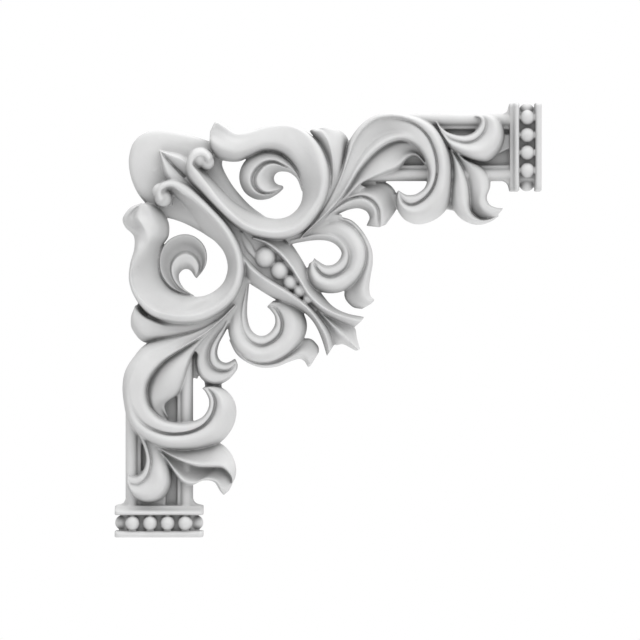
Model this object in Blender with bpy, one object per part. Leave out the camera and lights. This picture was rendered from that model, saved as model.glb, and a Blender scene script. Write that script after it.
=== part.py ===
"""A carved corner for panel moulding: leaf scrolls on a flat back, cast in one piece.

Two lengths of reeded moulding leave the corner, one level and one downward, and each ends in a beaded collar.
The back lies on the wall plane, y = 0, and the relief stands out towards -Y. +X runs right and +Z up.
The origin is on the back, where the centre lines of the two arms cross.

The leaves are drawn on a squared pattern, as a carver would: squares are counted right and down from the
pattern's corner, and heights in squares above the wall. The moulding and its collars have their own sizes.
"""

import bpy
import bmesh
import numpy as np

# Driving sizes, in metres
OVERALL_WIDTH = 0.300
RELIEF_HEIGHT = 0.0255
LEVEL_ARM_REACH = 0.268
DOWN_ARM_REACH = 0.2735
MOULDING_WIDTH = 0.0472
RAIL_WIDTH = 0.0086
RAIL_HEIGHT = 0.0108
CHANNEL_HEIGHT = 0.0040
COLLAR_WIDTH = 0.0620
COLLAR_LENGTH = 0.0222
COLLAR_HEIGHT = 0.0165
COLLAR_RING_LENGTH = 0.0066
COLLAR_END_LENGTH = 0.0045
BEAD_RADIUS = 0.0052
BEAD_SPACING = 0.0123
BEADS_IN_A_COLLAR = 4
LEVEL_BEAD_SHIFT = 0.0021
FILLET_WIDTH = 0.0028
FILLET_HEIGHT = 0.0078
GUSSET_LENGTH = 0.0045
GUSSET_WIDTH = 0.0066

# The pattern sheet: how many squares the overall width takes, and where the origin falls on the sheet
PATTERN_WIDTH = 428
ORIGIN_ACROSS = 159
ORIGIN_DOWN = 147
PATTERN_RELIEF = 30
SQUARE = OVERALL_WIDTH / PATTERN_WIDTH
STEP_UP = RELIEF_HEIGHT / PATTERN_RELIEF

# How finely the leaves are cut, in squares and degrees
LONGEST_STEP = 36
SHARPEST_TURN = 37
LEAST_LEAF_WIDTH = 0.8
SPARE_BEHIND = 0.004
BEAD_SIDES = 8
RAIL_FACETS = 5


def on_wall(square):
    """Metres right and up from the origin for a square of the pattern."""
    across, down = square
    return ((across - ORIGIN_ACROSS) * SQUARE, (ORIGIN_DOWN - down) * SQUARE)


def spline(points, positions):
    """A Catmull-Rom curve through the points, at positions counted in points from the first."""
    points = np.array(points, float)
    last = len(points) - 1
    ghosts = np.vstack([2 * points[0] - points[1], points, 2 * points[-1] - points[-2]])
    piece = np.clip(np.floor(positions).astype(int), 0, last - 1)
    t = (positions - piece)[:, None]
    p0, p1, p2, p3 = (ghosts[piece + k] for k in range(4))
    return 0.5 * (
        2 * p1 + (p2 - p0) * t + (2 * p0 - 5 * p1 + 4 * p2 - p3) * t**2 + (3 * p1 - p0 - 3 * p2 + p3) * t**3
    )


def stations(rails, longest, sharpest):
    """Positions along the rails for each row of the surface, closer together where the leaf bends."""
    dense = np.linspace(0, len(rails[0]) - 1, 20 * len(rails[0]))
    steps = np.array([np.diff(spline(rail, dense), axis=0) for rail in rails])
    lengths = np.max(np.linalg.norm(steps, axis=2), axis=0)
    headings = np.unwrap(np.arctan2(steps[:, :, 1], steps[:, :, 0]), axis=1)
    turns = np.mean(np.abs(np.gradient(headings, axis=1)), axis=0)
    travelled = np.concatenate([[0], np.cumsum(lengths / longest + turns / np.radians(sharpest))])
    count = max(2, round(travelled[-1])) + 1
    return np.interp(np.linspace(0, travelled[-1], count), travelled, dense)


def heights_at(heights, positions):
    """The cross-section's heights at each position, eased from one stated place to the next."""
    stated = sorted(heights)
    rows = np.array([heights[place] for place in stated], float)
    if len(stated) == 1:
        return np.repeat(rows, len(positions), axis=0)
    place = np.interp(positions, stated, np.arange(len(stated)))
    lower = np.clip(np.floor(place).astype(int), 0, len(stated) - 2)
    share = place - lower
    eased = (share * share * (3 - 2 * share))[:, None]
    return rows[lower] * (1 - eased) + rows[lower + 1] * eased


def surface_points(rails, across, heights, longest):
    """A grid of (across, down, height) points, in squares, along and across a leaf."""
    positions = stations(rails, longest, SHARPEST_TURN)
    curves = [spline(rail, positions) for rail in rails]
    levels = heights_at(heights, positions)
    grid = []
    for k, level in enumerate(levels):
        row = []
        for share, height in zip(across, level):
            rail = min(int(share), len(rails) - 2)
            start, end = curves[rail][k], curves[rail + 1][k]
            row.append((*(start + (end - start) * (share - rail)), height))
        grid.append(row)
    return widened(np.array(grid))


def widened(grid):
    """The grid with its narrowest rows spread about their middles, where a leaf's tip closes to nothing."""
    plan = grid[:, :, :2]
    middles = (plan[:, 0] + plan[:, -1]) / 2
    travel = np.gradient(middles, axis=0)
    travel /= np.linalg.norm(travel, axis=1)[:, None]
    sideways = np.stack([-travel[:, 1], travel[:, 0]], axis=1)
    widths = np.sum((plan[:, -1] - plan[:, 0]) * sideways, axis=1)
    side = np.sign(np.sum(widths))
    shares = np.linspace(-0.5, 0.5, grid.shape[1])[:, None]
    for k, width in enumerate(widths * side):
        if width < LEAST_LEAF_WIDTH:
            grid[k, :, :2] = middles[k] + shares * side * LEAST_LEAF_WIDTH * sideways[k]
    return grid


def solid_from_grid(name, grid, behind):
    """A closed block with a grid of (right, up, height) points as its face and a flat rear behind the wall."""
    mesh = bmesh.new()
    face = [[mesh.verts.new((right, -height, up)) for right, up, height in row] for row in grid]
    rear = [[mesh.verts.new((v.co.x, behind, v.co.z)) for v in row] for row in face]
    for layer in (face, rear):
        for row, after in zip(layer, layer[1:]):
            for k in range(len(row) - 1):
                mesh.faces.new((row[k], row[k + 1], after[k + 1], after[k]))
    rim = [*face[0], *(row[-1] for row in face[1:-1]), *reversed(face[-1]), *(row[0] for row in face[-2:0:-1])]
    back = [*rear[0], *(row[-1] for row in rear[1:-1]), *reversed(rear[-1]), *(row[0] for row in rear[-2:0:-1])]
    for k in range(len(rim)):
        mesh.faces.new((rim[k - 1], rim[k], back[k], back[k - 1]))
    return finished(name, mesh)


def finished(name, mesh):
    """The mesh as an object whose faces all point outwards."""
    bmesh.ops.recalc_face_normals(mesh, faces=mesh.faces)
    data = bpy.data.meshes.new(name)
    mesh.to_mesh(data)
    mesh.free()
    return bpy.data.objects.new(name, data)


class Carving:
    """The blocks and beads that make up the casting, before they are joined."""

    def __init__(self):
        self.collection = bpy.data.collections.new("carving_pieces")
        bpy.context.scene.collection.children.link(self.collection)

    def add(self, obj):
        obj.hide_render = True
        obj.display_type = "WIRE"
        self.collection.objects.link(obj)

    def rear(self):
        """Each block reaches back a little further than the last, so that no two rears coincide."""
        return SPARE_BEHIND * (1 + 0.02 * len(self.collection.objects))

    def leaf(self, name, rails, across, heights, longest=LONGEST_STEP):
        grid = surface_points(rails, across, heights, longest)
        self.block(name, [[(*on_wall(point[:2]), point[2] * STEP_UP) for point in row] for row in grid])

    def block(self, name, grid):
        """A block whose face is a grid of (right, up, height) points, in metres."""
        self.add(solid_from_grid(name, grid, self.rear()))

    def bead(self, name, place, height, radius):
        """A round bead; place and radius in metres, height in metres above the wall."""
        mesh = bmesh.new()
        bmesh.ops.create_uvsphere(mesh, u_segments=BEAD_SIDES, v_segments=BEAD_SIDES // 2 + 1, radius=radius)
        obj = finished(name, mesh)
        obj.location = (place[0], -height, place[1])
        self.add(obj)

    def bar(self, name, profile, start, end, axis, offset_axis):
        """A straight length with one cross-section: profile is (sideways, height) in metres along offset_axis."""
        mesh = bmesh.new()
        behind = self.rear()
        outline = [*profile, (profile[-1][0], -behind), (profile[0][0], -behind)]
        ends = []
        for along in (start, end):
            ring = []
            for sideways, height in outline:
                point = along * np.array(axis) + sideways * np.array(offset_axis) + np.array((0, -height, 0))
                ring.append(mesh.verts.new(point))
            ends.append(ring)
        for k in range(len(outline)):
            after = (k + 1) % len(outline)
            mesh.faces.new((ends[0][k], ends[0][after], ends[1][after], ends[1][k]))
        mesh.faces.new(ends[0])
        mesh.faces.new(ends[1])
        self.add(finished(name, mesh))

    def slab(self, name, outline, height, axis, offset_axis):
        """A flat-faced block of one height, its outline given as (along, sideways) in metres."""
        mesh = bmesh.new()
        behind = self.rear()
        layers = []
        for depth in (-height, behind):
            layers.append([
                mesh.verts.new(along * np.array(axis) + sideways * np.array(offset_axis) + np.array((0, depth, 0)))
                for along, sideways in outline
            ])
        for k in range(len(outline)):
            mesh.faces.new((layers[0][k - 1], layers[0][k], layers[1][k], layers[1][k - 1]))
        mesh.faces.new(layers[0])
        mesh.faces.new(layers[1])
        self.add(finished(name, mesh))


# The parts of each side, on the pattern sheet. Rails are the lines that a leaf's surface runs between, and
# heights say how far it stands out along each line of the cross-section, from one numbered station to the next.

RING_ACROSS = (0, 0.3, 0.75, 1, 1.15, 1.6, 2)
HOOK_ACROSS = (0, 0.35, 0.75, 1, 1.2, 1.6, 2)
SCROLL_ACROSS = (0, 0.25, 0.6, 0.88, 1, 1.15, 1.55, 1.85, 2)
SPRIG_ACROSS = (0, 0.35, 0.7, 1)
BLADE_ACROSS = (0, 0.25, 0.6, 0.88, 1)

RING_HEIGHTS = {
    0: (11, 14, 16, 17, 17, 17, 11),
    1: (11, 15, 18, 18, 15, 21, 12),
    3: (10, 14, 16, 16, 16, 26, 13),
    5: (11, 15, 18, 19, 21, 25, 14),
    7: (14, 22, 23, 23, 21, 21, 13),
    9: (14, 24, 25, 24, 21, 15, 9),
    12: (12, 24, 28, 26, 20, 12, 7),
    16: (12, 24, 28, 27, 21, 13, 7),
    19: (12, 24, 28, 26, 20, 12, 7),
    22: (14, 24, 28, 27, 24, 19, 11),
    24: (15, 24, 28, 28, 27, 22, 13),
    25: (14, 25, 29, 29, 28, 24, 14),
    26: (11, 17, 19, 19, 19, 17, 11),
}
HOOK_HEIGHTS = {
    0: (8, 8, 8, 8, 8, 8, 7),
    2: (7, 11, 14, 10, 14, 12, 7),
    5: (6, 11, 16, 11, 18, 14, 7),
    10: (6, 11, 16, 11, 18, 14, 7),
    13: (7, 8, 9, 9, 9, 8, 7),
}
CUPPED_HOOK_HEIGHTS = {
    0: (8, 8, 8, 8, 8, 8, 7),
    2: (10, 9, 8, 8, 13, 12, 7),
    5: (15, 9, 5, 6, 14, 13, 7),
    8: (17, 11, 6, 6, 14, 14, 7),
    11: (14, 9, 6, 6, 13, 13, 7),
    13: (7, 8, 8, 8, 8, 8, 7),
}
SCROLL_HEIGHTS = {
    0: (11, 14, 16, 16, 16, 17, 17, 15, 12),
    2: (13, 16, 18, 18, 18, 18, 19, 19, 16),
    4: (9, 17, 20, 20, 19, 19, 20, 23, 20),
    6: (9, 19, 21, 20, 19, 18, 18, 23, 21),
    8: (13, 21, 22, 20, 19, 18, 17, 24, 22),
    12: (12, 22, 25, 24, 20, 24, 24, 23, 16),
    15: (10, 21, 26, 24, 19, 24, 24, 21, 13),
    20: (9, 19, 25, 22, 18, 22, 22, 19, 11),
    24: (9, 13, 15, 15, 14, 14, 14, 13, 9),
}
DROOP_ACROSS = (0, 0.3, 0.75, 0.92, 1, 1.12, 1.5, 1.8, 2)
DROOP_HEIGHTS = {
    0: (9, 12, 14, 14, 14, 14, 14, 13, 11),
    4: (9, 15, 17, 16, 16, 18, 20, 18, 13),
    7: (9, 17, 18, 16, 14, 18, 22, 20, 13),
    10: (9, 16, 17, 15, 13, 17, 20, 17, 11),
    12: (9, 11, 13, 13, 13, 14, 14, 12, 9),
}
TAIL_ACROSS = (0, 0.3, 0.75, 1)
UPPER_KNOB = (206.3, 161)
LEFT_KNOB = (163, 199)
KNOB_RADIUS = 8
KNOB_HEIGHT = 20.5


def upper_side(carving):
    """The leaves between the corner and the end of the level arm."""
    carving.leaf(
        "upper_ring",
        [
            [(210, 131), (216, 121), (224, 124.5), (236, 131.5), (252, 130), (268, 125), (285, 123.5),
             (299, 127.5), (312, 136), (323, 150), (329.5, 167), (330.5, 184), (326, 201), (316, 218),
             (302, 232.5), (284, 239.5), (264, 239), (246, 233.5), (231, 224), (216, 210), (201, 194.5),
             (188, 180), (185, 166), (191, 152), (203, 147.5), (213, 154.5), (214, 166)],
            [(210, 134), (216, 124.5), (224, 128), (236, 135), (252, 133.5), (268, 128.5), (284, 127),
             (297, 131.5), (308, 141), (315.5, 153), (320, 169), (321, 184), (317.5, 198), (309, 211.5),
             (297, 224), (282, 230), (264, 229.5), (248, 224), (235, 214.5), (222, 202), (210, 187),
             (199, 173), (193, 165), (197, 158), (203, 156), (208.5, 160), (211, 168)],
            [(209.5, 143), (213, 154), (223, 160), (238, 161), (250, 156), (263, 150.5), (277, 151.5),
             (288, 159), (296, 171), (301, 184), (302.5, 193), (301, 202), (296, 210), (288, 216),
             (278, 218.5), (268, 217.5), (257, 214), (246, 209), (234, 201), (223, 190), (212, 178),
             (204, 169.5), (200, 164), (199.5, 162), (201.5, 163), (204, 166), (207, 170)],
        ],
        RING_ACROSS,
        RING_HEIGHTS,
    )
    carving.leaf(
        "upper_ring_plate",
        [
            [(200, 150), (203, 172), (213, 190), (229, 205), (247, 217), (266, 223)],
            [(222, 158), (222.5, 167), (230, 181.5), (239, 193.5), (251, 206), (266, 217)],
        ],
        (0, 0.6, 1),
        {0: (8, 7, 4)},
    )
    carving.leaf(
        "upper_hook",
        [
            [(303, 192), (301, 180), (295, 167.5), (286, 157.5), (274, 151), (261, 151), (248, 157.5),
             (240.5, 168.5), (239.5, 181), (245, 192.5), (256, 199), (268, 198.5), (277.5, 193.5), (283.5, 188)],
            [(302, 190), (298, 178), (291, 170), (282, 165.5), (273, 162.5), (264, 164.5), (257.5, 170.5),
             (253.5, 178), (254, 185.5), (259, 191.5), (265, 193.5), (272, 192.5), (279, 190.5), (283, 187.5)],
            [(301.5, 190), (297, 178.5), (290, 172.5), (283.5, 171), (278.5, 171.5), (275.5, 173.5), (274, 176),
             (273.8, 178.5), (274.5, 181), (276, 183), (278, 184.3), (280.5, 185), (282.5, 185.5), (283.5, 187)],
        ],
        HOOK_ACROSS,
        HOOK_HEIGHTS,
    )
    carving.leaf(
        "upper_sprig_near",
        [
            [(309.5, 130.5), (312.5, 134.5), (318, 142), (323.5, 152), (328, 164), (329.5, 178), (328, 190), (322, 203),
             (312, 216)],
            [(315, 128.5), (323, 131), (328.5, 139), (332, 149), (334, 161), (335, 175), (333, 188), (327, 203),
             (317, 218)],
        ],
        (0, 0.5, 1),
        {0: (12, 15, 14), 1: (9, 15, 18), 2: (7, 11, 19), 3: (8, 12, 19), 5: (16, 18, 18), 8: (14, 15, 14)},
    )
    carving.leaf(
        "upper_sprig_far",
        [
            [(318, 128.5), (322, 131.5), (327, 139), (330.5, 149), (332.5, 161), (333.5, 175), (331, 189),
             (324, 204), (314, 216)],
            [(331, 126.5), (342, 131.5), (348, 139), (347.5, 149), (345, 161), (341.5, 174), (336.5, 189),
             (328, 204), (317, 217)],
        ],
        SPRIG_ACROSS,
        {0: (14, 16, 15, 9), 3: (19, 18, 16, 7), 6: (16, 17, 16, 9), 8: (14, 15, 14, 11)},
    )
    carving.leaf(
        "upper_scroll",
        [
            [(303, 234), (316, 219), (325.5, 203), (331.5, 188), (336, 172.5), (341, 156), (347.5, 140.5), (360, 125.5),
             (374, 115.5), (390, 112.5), (405, 114.5), (421, 119), (434, 126), (443, 137), (449.5, 151),
             (452.5, 167), (452.5, 184), (450.5, 200), (444, 212.5), (432, 221), (418, 224), (406, 220),
             (398.5, 211), (396, 200), (398, 191)],
            [(301.5, 236.3), (317.5, 220), (329, 205.5), (336.5, 191.5), (342.5, 177), (348, 162), (355, 144),
             (364, 131), (376, 122), (390, 119), (404, 120), (417, 126), (427, 136), (433, 148), (436, 160),
             (436.5, 172), (434.5, 182.5), (430.5, 191), (424.5, 198), (417.5, 203), (411, 205), (405.5, 203.5),
             (401.5, 199.5), (399.5, 195), (398.5, 191)],
            [(300, 238.5), (320, 221), (333, 208), (342, 197), (350, 185), (357, 173.5), (365, 163), (374, 153.5),
             (384, 146), (394, 141.5), (403, 140.5), (411, 143.5), (418, 149), (423.5, 157), (427, 166),
             (428.5, 174), (427.5, 181), (425, 187), (421, 191), (416, 194), (411, 195), (406, 194.5),
             (402, 192.5), (400, 191), (398.5, 190)],
        ],
        SCROLL_ACROSS,
        SCROLL_HEIGHTS,
    )
    carving.leaf(
        "upper_inner_leaf",
        [
            [(326, 212), (342, 196), (350, 184), (360, 168), (373, 152), (388, 142), (402, 139), (417, 145), (430, 163)],
            [(328, 213), (347, 198), (361, 184), (373, 178.5), (387, 173.5), (399, 168.5), (408.5, 158.5),
             (417, 156.5), (428, 168)],
        ],
        BLADE_ACROSS,
        {0: (14, 14, 14, 14, 12), 4: (19, 13, 13, 17, 14), 8: (16, 10, 8, 12, 11)},
    )
    carving.leaf(
        "upper_hook_leaf",
        [
            [(322, 224), (331, 217.5), (341, 212.5), (350, 209), (359, 208), (366.5, 211), (369.7, 217),
             (368, 222), (366.5, 225.5)],
            [(323, 221), (333, 210), (343, 202), (353, 198), (363, 197), (372, 201.5), (377.5, 209),
             (379, 217.5), (379.5, 227)],
            [(325, 218), (340, 202), (350, 192), (361, 184.5), (374, 181.5), (387, 182.5), (396, 192),
             (397, 207.5), (386, 224.5)],
        ],
        DROOP_ACROSS,
        {
            0: (9, 12, 13, 12, 12, 13, 13, 12, 10),
            4: (7, 14, 16, 13, 10, 16, 14, 9, 6),
            6: (6, 13, 16, 13, 10, 15, 11, 7, 5),
            8: (7, 10, 12, 12, 12, 14, 14, 11, 7),
        },
    )
    carving.leaf(
        "upper_droop",
        [
            [(290.5, 244), (302, 241.7), (315, 240), (327, 240.5), (336, 244.5), (341.5, 252), (339.5, 259),
             (334, 264), (327, 265.3), (322, 263.5), (318.5, 261), (316, 259.5), (314.5, 257.5)],
            [(290.5, 240), (304, 236.5), (318, 233), (333, 234.5), (344, 242), (349.5, 253), (348.5, 264.5),
             (342, 272.5), (331, 277), (323, 275), (319, 271), (316, 267), (313, 261)],
            [(291, 234), (303, 229), (320, 221), (336, 219), (355, 229), (365.5, 246), (365.5, 263),
             (357.5, 279.5), (343, 291), (327, 293), (313, 288), (307, 276), (309, 263.5)],
        ],
        DROOP_ACROSS,
        DROOP_HEIGHTS,
    )
    carving.leaf(
        "upper_droop_tail",
        [
            [(336, 221), (347, 226), (356, 237), (360.5, 251), (358, 265), (351, 279), (345, 290), (345.5, 299),
             (353, 307), (362, 309)],
            [(341, 216.5), (353, 221), (364, 233), (371.5, 248), (373, 262), (370.5, 277), (369.3, 289),
             (371, 296.5), (374.5, 299.7), (371, 304)],
        ],
        TAIL_ACROSS,
        {0: (10, 12, 13, 9), 3: (9, 11, 15, 10), 6: (8, 11, 16, 11), 9: (10, 14, 14, 10)},
    )
    carving.leaf(
        "upper_curl_leaf",
        [
            [(436, 122), (445, 130.5), (455, 134.5), (465, 135.3), (473, 132.5), (478, 127), (480, 122),
             (479, 118.5), (476, 117.3), (473, 117.5)],
            [(438, 127), (447, 137.5), (456, 141.5), (466, 143), (475, 140.5), (482, 134.5), (485.5, 127),
             (484.5, 119.5), (480, 115.8), (474, 116)],
            [(443, 137), (451, 149), (462, 155.5), (476, 160.5), (489, 160.5), (500, 150.5), (504.5, 137),
             (502, 124), (493, 116), (479, 113.8)],
        ],
        DROOP_ACROSS,
        {
            0: (12, 18, 18, 17, 17, 18, 18, 16, 12),
            4: (13, 19, 20, 19, 17, 20, 24, 21, 13),
            7: (13, 18, 19, 18, 17, 19, 21, 18, 12),
            9: (10, 12, 13, 13, 13, 13, 14, 13, 11),
        },
    )
    carving.leaf(
        "upper_spur",
        [
            [(490, 134), (500, 134), (512, 134)],
            [(480, 158), (495, 155), (512, 147.5)],
        ],
        (0, 0.8, 1),
        {0: (9, 9, 10)},
    )
    carving.leaf(
        "upper_outer_blade",
        [
            [(450, 150), (452.5, 163), (452.5, 178), (451, 193), (452.5, 206), (459, 216), (469, 222.5),
             (480, 224.5), (491, 221.5), (499, 216)],
            [(451, 148), (458, 159.5), (464, 171), (468.5, 184), (470, 197), (470.5, 207), (473.5, 214),
             (481, 219), (489.5, 218.5), (498, 214.5)],
        ],
        BLADE_ACROSS,
        {0: (11, 13, 13, 12, 10), 2: (11, 17, 19, 17, 13), 4: (11, 17, 19, 16, 11), 6: (9, 15, 17, 13, 8), 9: (8, 9, 10, 10, 8)},
    )
    carving.leaf(
        "upper_inner_blade",
        [
            [(452, 148), (458, 158), (463, 170), (467, 183), (469, 197), (471, 208), (477, 216),
             (487, 220), (496, 217.5)],
            [(454, 148.5), (465, 159), (480, 165.6), (489, 174.6), (490.5, 186), (487, 197), (490, 204.5),
             (497, 207.5), (503.5, 208)],
        ],
        BLADE_ACROSS,
        {0: (14, 15, 15, 14, 11), 3: (17, 20, 17, 15, 10), 6: (8, 11, 16, 16, 10), 8: (8, 12, 15, 14, 10)},
    )


def left_side(carving):
    """The leaves between the corner and the end of the downward arm."""
    carving.leaf(
        "left_ring",
        [
            [(141, 203), (130, 207.5), (122.5, 218), (125, 227), (133.5, 236), (134, 249), (130, 264), (129, 281),
             (135, 298), (148, 314), (166, 322), (186, 324), (206, 320.5), (224, 310), (237, 296), (244, 278),
             (245, 260), (239, 241), (228, 223.5), (214, 208), (201, 195), (189, 184.5), (176, 179.5), (162, 182),
             (154.5, 192), (156, 204), (165, 208)],
            [(143, 203.5), (133, 209.5), (126, 219), (130, 226), (138, 236), (139, 249), (134, 264), (133, 279),
             (139, 294), (153, 307.5), (169, 312.5), (187, 313.8), (203, 311), (218, 303.5), (230, 291.5),
             (236.5, 276), (236.5, 258), (230, 241.5), (219.5, 226), (206, 212), (194, 201.5), (183, 194),
             (173, 187), (165, 188.5), (161, 193), (163, 199.5), (168, 203)],
            [(146, 203), (155, 205.5), (164, 214), (168.5, 224), (168, 236), (162, 246), (159.5, 260), (162, 275),
             (170, 287), (182, 293.5), (194, 296.5), (205, 295.5), (215, 290.5), (223, 282.5), (227, 272),
             (227, 262), (223, 251), (214.5, 241), (203.5, 233), (195, 222), (186, 209), (178, 200),
             (170, 193), (168, 192.5), (167, 193), (169.5, 196), (171.5, 199.5)],
        ],
        RING_ACROSS,
        {
            **RING_HEIGHTS,
            5: (11, 14, 17, 18, 20, 23, 13),
            7: (12, 20, 22, 21, 18, 16, 11),
            9: (13, 23, 25, 23, 17, 12, 8),
        },
    )
    carving.leaf(
        "left_ring_plate",
        [
            [(155.5, 195), (174, 196), (192, 208), (207, 222), (218, 238)],
            [(161.5, 216.5), (171, 218.5), (183, 222.5), (197, 229.5), (210, 237.5)],
        ],
        (0, 0.6, 1),
        {0: (10, 8, 5)},
    )
    carving.leaf(
        "left_hook",
        [
            [(194, 296), (182, 293), (170, 286.5), (161.5, 275), (159, 262), (161.5, 249), (169, 239.5),
             (180, 234.5), (191, 235), (200.5, 241), (206, 251), (206, 263), (201.5, 272), (196, 278)],
            [(193.5, 295.5), (183, 290.5), (175.5, 283.5), (171, 275), (170, 266), (173, 258), (179, 252.5),
             (186, 250.5), (192.5, 253), (197.5, 258), (200, 264), (199.5, 270), (198, 274.5), (196, 278)],
            [(193, 295), (185, 289.5), (180.5, 284), (178.5, 278.5), (178.5, 274.5), (180, 272), (182, 270),
             (184.5, 269), (187.5, 269), (190, 270.3), (192, 272.5), (193.5, 275), (195, 277), (196, 278)],
        ],
        HOOK_ACROSS,
        CUPPED_HOOK_HEIGHTS,
    )
    carving.leaf(
        "left_sprig_near",
        [
            [(138.5, 303), (142, 309), (150, 316), (161, 320.5), (175, 323), (190, 322.5), (205, 318), (219, 308)],
            [(136, 306), (139.5, 313.5), (147.5, 320.5), (160, 325.5), (175, 329), (190, 329.5), (207, 325.5),
             (222, 316)],
        ],
        (0, 0.5, 1),
        {0: (10, 14, 15), 1: (6, 10, 18), 2: (8, 12, 19), 3: (14, 16, 19), 4: (17, 18, 18), 7: (14, 15, 14)},
    )
    carving.leaf(
        "left_sprig_far",
        [
            [(136, 305), (138.5, 310), (143.5, 315.5), (151, 319.5), (162, 323.5), (176, 326.5), (191, 327),
             (206, 323), (219, 315)],
            [(134, 307.5), (130.5, 318), (132, 329.5), (143, 342), (158, 341), (173, 338.5), (189, 333.5),
             (206, 327), (220, 317.5)],
        ],
        SPRIG_ACROSS,
        {0: (14, 16, 15, 9), 3: (19, 18, 16, 7), 6: (16, 17, 16, 9), 8: (14, 15, 14, 11)},
    )
    carving.leaf(
        "left_scroll",
        [
            [(234, 304), (221, 317), (206, 325), (192, 331), (178, 334.5), (163, 338), (145, 344.5),
             (133, 357.5), (125, 371), (122.3, 386), (123.5, 402), (127, 418), (135, 431.5), (147, 441.5),
             (162, 448.5), (178, 451), (194, 450.5), (208, 447.5), (221, 442), (231.5, 429.5), (236, 415),
             (234, 401), (225, 390), (214, 386), (203, 387.5)],
            [(235, 305), (221.5, 318), (207.5, 329), (194, 336), (180, 342), (165, 347.5), (150, 354), (139, 364),
             (132, 376), (129, 389), (130.5, 402), (135.5, 414), (143, 423), (154, 429.5), (166, 433),
             (178, 433.5), (190, 431.5), (200.5, 427), (208.5, 420), (213.5, 411), (215, 402), (213, 395),
             (209.5, 390.5), (206.5, 388.5), (203, 388)],
            [(236, 306), (223, 319.5), (209, 331.5), (197, 339.5), (185, 347), (173, 354.5), (162, 363),
             (153, 373.5), (147.5, 385), (147, 396), (150, 406.5), (156.5, 414.5), (164, 419.5), (173, 422),
             (182, 422.8), (190, 422), (197, 420), (203, 416.5), (207, 411), (209, 405), (208.8, 399.5),
             (207, 395), (205, 391.5), (203, 389.5), (202, 388.5)],
        ],
        SCROLL_ACROSS,
        SCROLL_HEIGHTS,
    )
    carving.leaf(
        "left_inner_leaf",
        [
            [(228, 312), (210, 328), (192, 341), (173, 353), (157, 367), (147, 383), (145, 398), (152, 412), (166, 421)],
            [(230, 314), (215, 329), (203, 341.5), (194, 353), (189.5, 365), (184.5, 381), (178, 394),
             (165.5, 404.5), (168, 418)],
        ],
        BLADE_ACROSS,
        {0: (14, 14, 14, 14, 12), 4: (16, 16, 18, 18, 13), 8: (14, 12, 11, 13, 11)},
    )
    carving.leaf(
        "left_hook_leaf",
        [
            [(232, 312), (230, 322), (224.5, 333), (219, 343.5), (217, 353), (219.5, 360), (225, 362.8),
             (230, 361.5), (234, 359), (235, 359)],
            [(229, 313), (224, 325), (216.5, 336), (210.5, 347), (209, 358), (213, 367), (221, 370.5),
             (229, 370), (235, 365), (236, 361)],
            [(227, 312), (214, 327), (203, 340), (196.5, 354), (196, 367), (201, 378.5), (212, 385.5),
             (226, 381.5), (236, 371), (237.5, 365)],
        ],
        DROOP_ACROSS,
        {
            0: (9, 12, 13, 12, 12, 13, 13, 12, 10),
            4: (8, 17, 17, 15, 11, 12, 14, 14, 8),
            6: (8, 15, 16, 14, 11, 13, 15, 15, 8),
            9: (8, 12, 13, 13, 13, 14, 14, 13, 8),
        },
    )
    carving.leaf(
        "left_droop",
        [
            [(249, 283), (248, 294), (247, 306), (247.3, 318), (250.5, 329), (257, 335), (264.5, 335.5),
             (271, 331), (275, 323.5), (274.5, 316), (272, 312), (269.5, 309), (267.7, 307.7), (267, 307)],
            [(247, 285), (244, 297), (241.5, 309), (241, 321), (243.5, 332), (250, 341.5), (261, 346),
             (272, 342), (280, 334), (282, 324), (280, 316), (276, 309), (271.5, 305.5), (268, 305.5)],
            [(239, 283), (235, 295), (230, 307), (228, 322), (229.5, 337), (237, 351), (252, 361.5), (270, 363),
             (288, 355), (302, 341.5), (307, 326), (302, 311), (289, 301.8), (273.5, 300.5)],
        ],
        DROOP_ACROSS,
        DROOP_HEIGHTS,
    )
    carving.leaf(
        "left_droop_tail",
        [
            [(233, 337), (241, 349), (252, 357), (264, 359), (278, 356), (291, 348.5), (302, 339.5), (311, 339),
             (318, 346), (319, 352)],
            [(229, 340), (236, 353.5), (247, 362.5), (261, 367.7), (276, 367), (289, 362), (299, 359),
             (304.5, 361.5), (308.5, 367.3), (312, 363.5)],
        ],
        TAIL_ACROSS,
        {0: (10, 12, 13, 9), 3: (9, 11, 15, 10), 6: (8, 11, 16, 11), 9: (10, 14, 14, 10)},
    )
    carving.leaf(
        "left_curl_leaf",
        [
            [(134, 430), (139.5, 437.5), (143.5, 447), (145.7, 457), (144.5, 466.5), (140.5, 473.5), (134.5, 476.3),
             (130, 475), (129, 472.5)],
            [(139, 428), (144.5, 437), (148.5, 447.5), (151, 459), (150, 469.5), (146, 478.5), (138, 484.3),
             (130.5, 483.5), (127.5, 476.5)],
            [(152, 430), (160, 443), (166, 456), (170.5, 470), (170.5, 485), (163, 498), (149, 503),
             (135, 498.5), (127.5, 486.5)],
        ],
        DROOP_ACROSS,
        {
            0: (12, 18, 18, 17, 17, 18, 18, 16, 12),
            4: (13, 19, 20, 19, 17, 20, 24, 21, 13),
            8: (11, 13, 14, 14, 14, 15, 16, 14, 11),
        },
    )
    carving.leaf(
        "left_spur",
        [
            [(141, 488), (141, 498), (141, 510)],
            [(165, 480), (166, 495), (165, 510)],
        ],
        (0, 0.8, 1),
        {0: (9, 9, 10)},
    )
    carving.leaf(
        "left_outer_blade",
        [
            [(150, 441), (165, 446), (180, 449), (195, 448.5), (208, 446), (220, 444), (230, 453), (235.5, 466),
             (235, 478), (229.5, 488)],
            [(150, 443), (160, 449.5), (172, 456.5), (185, 462.5), (198, 466.5), (211, 467), (222, 467.5),
             (229.5, 474), (232, 481), (229, 487)],
        ],
        BLADE_ACROSS,
        {0: (11, 13, 13, 12, 10), 3: (12, 18, 21, 21, 16), 6: (10, 17, 20, 20, 14), 9: (8, 9, 10, 10, 8)},
    )
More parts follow.
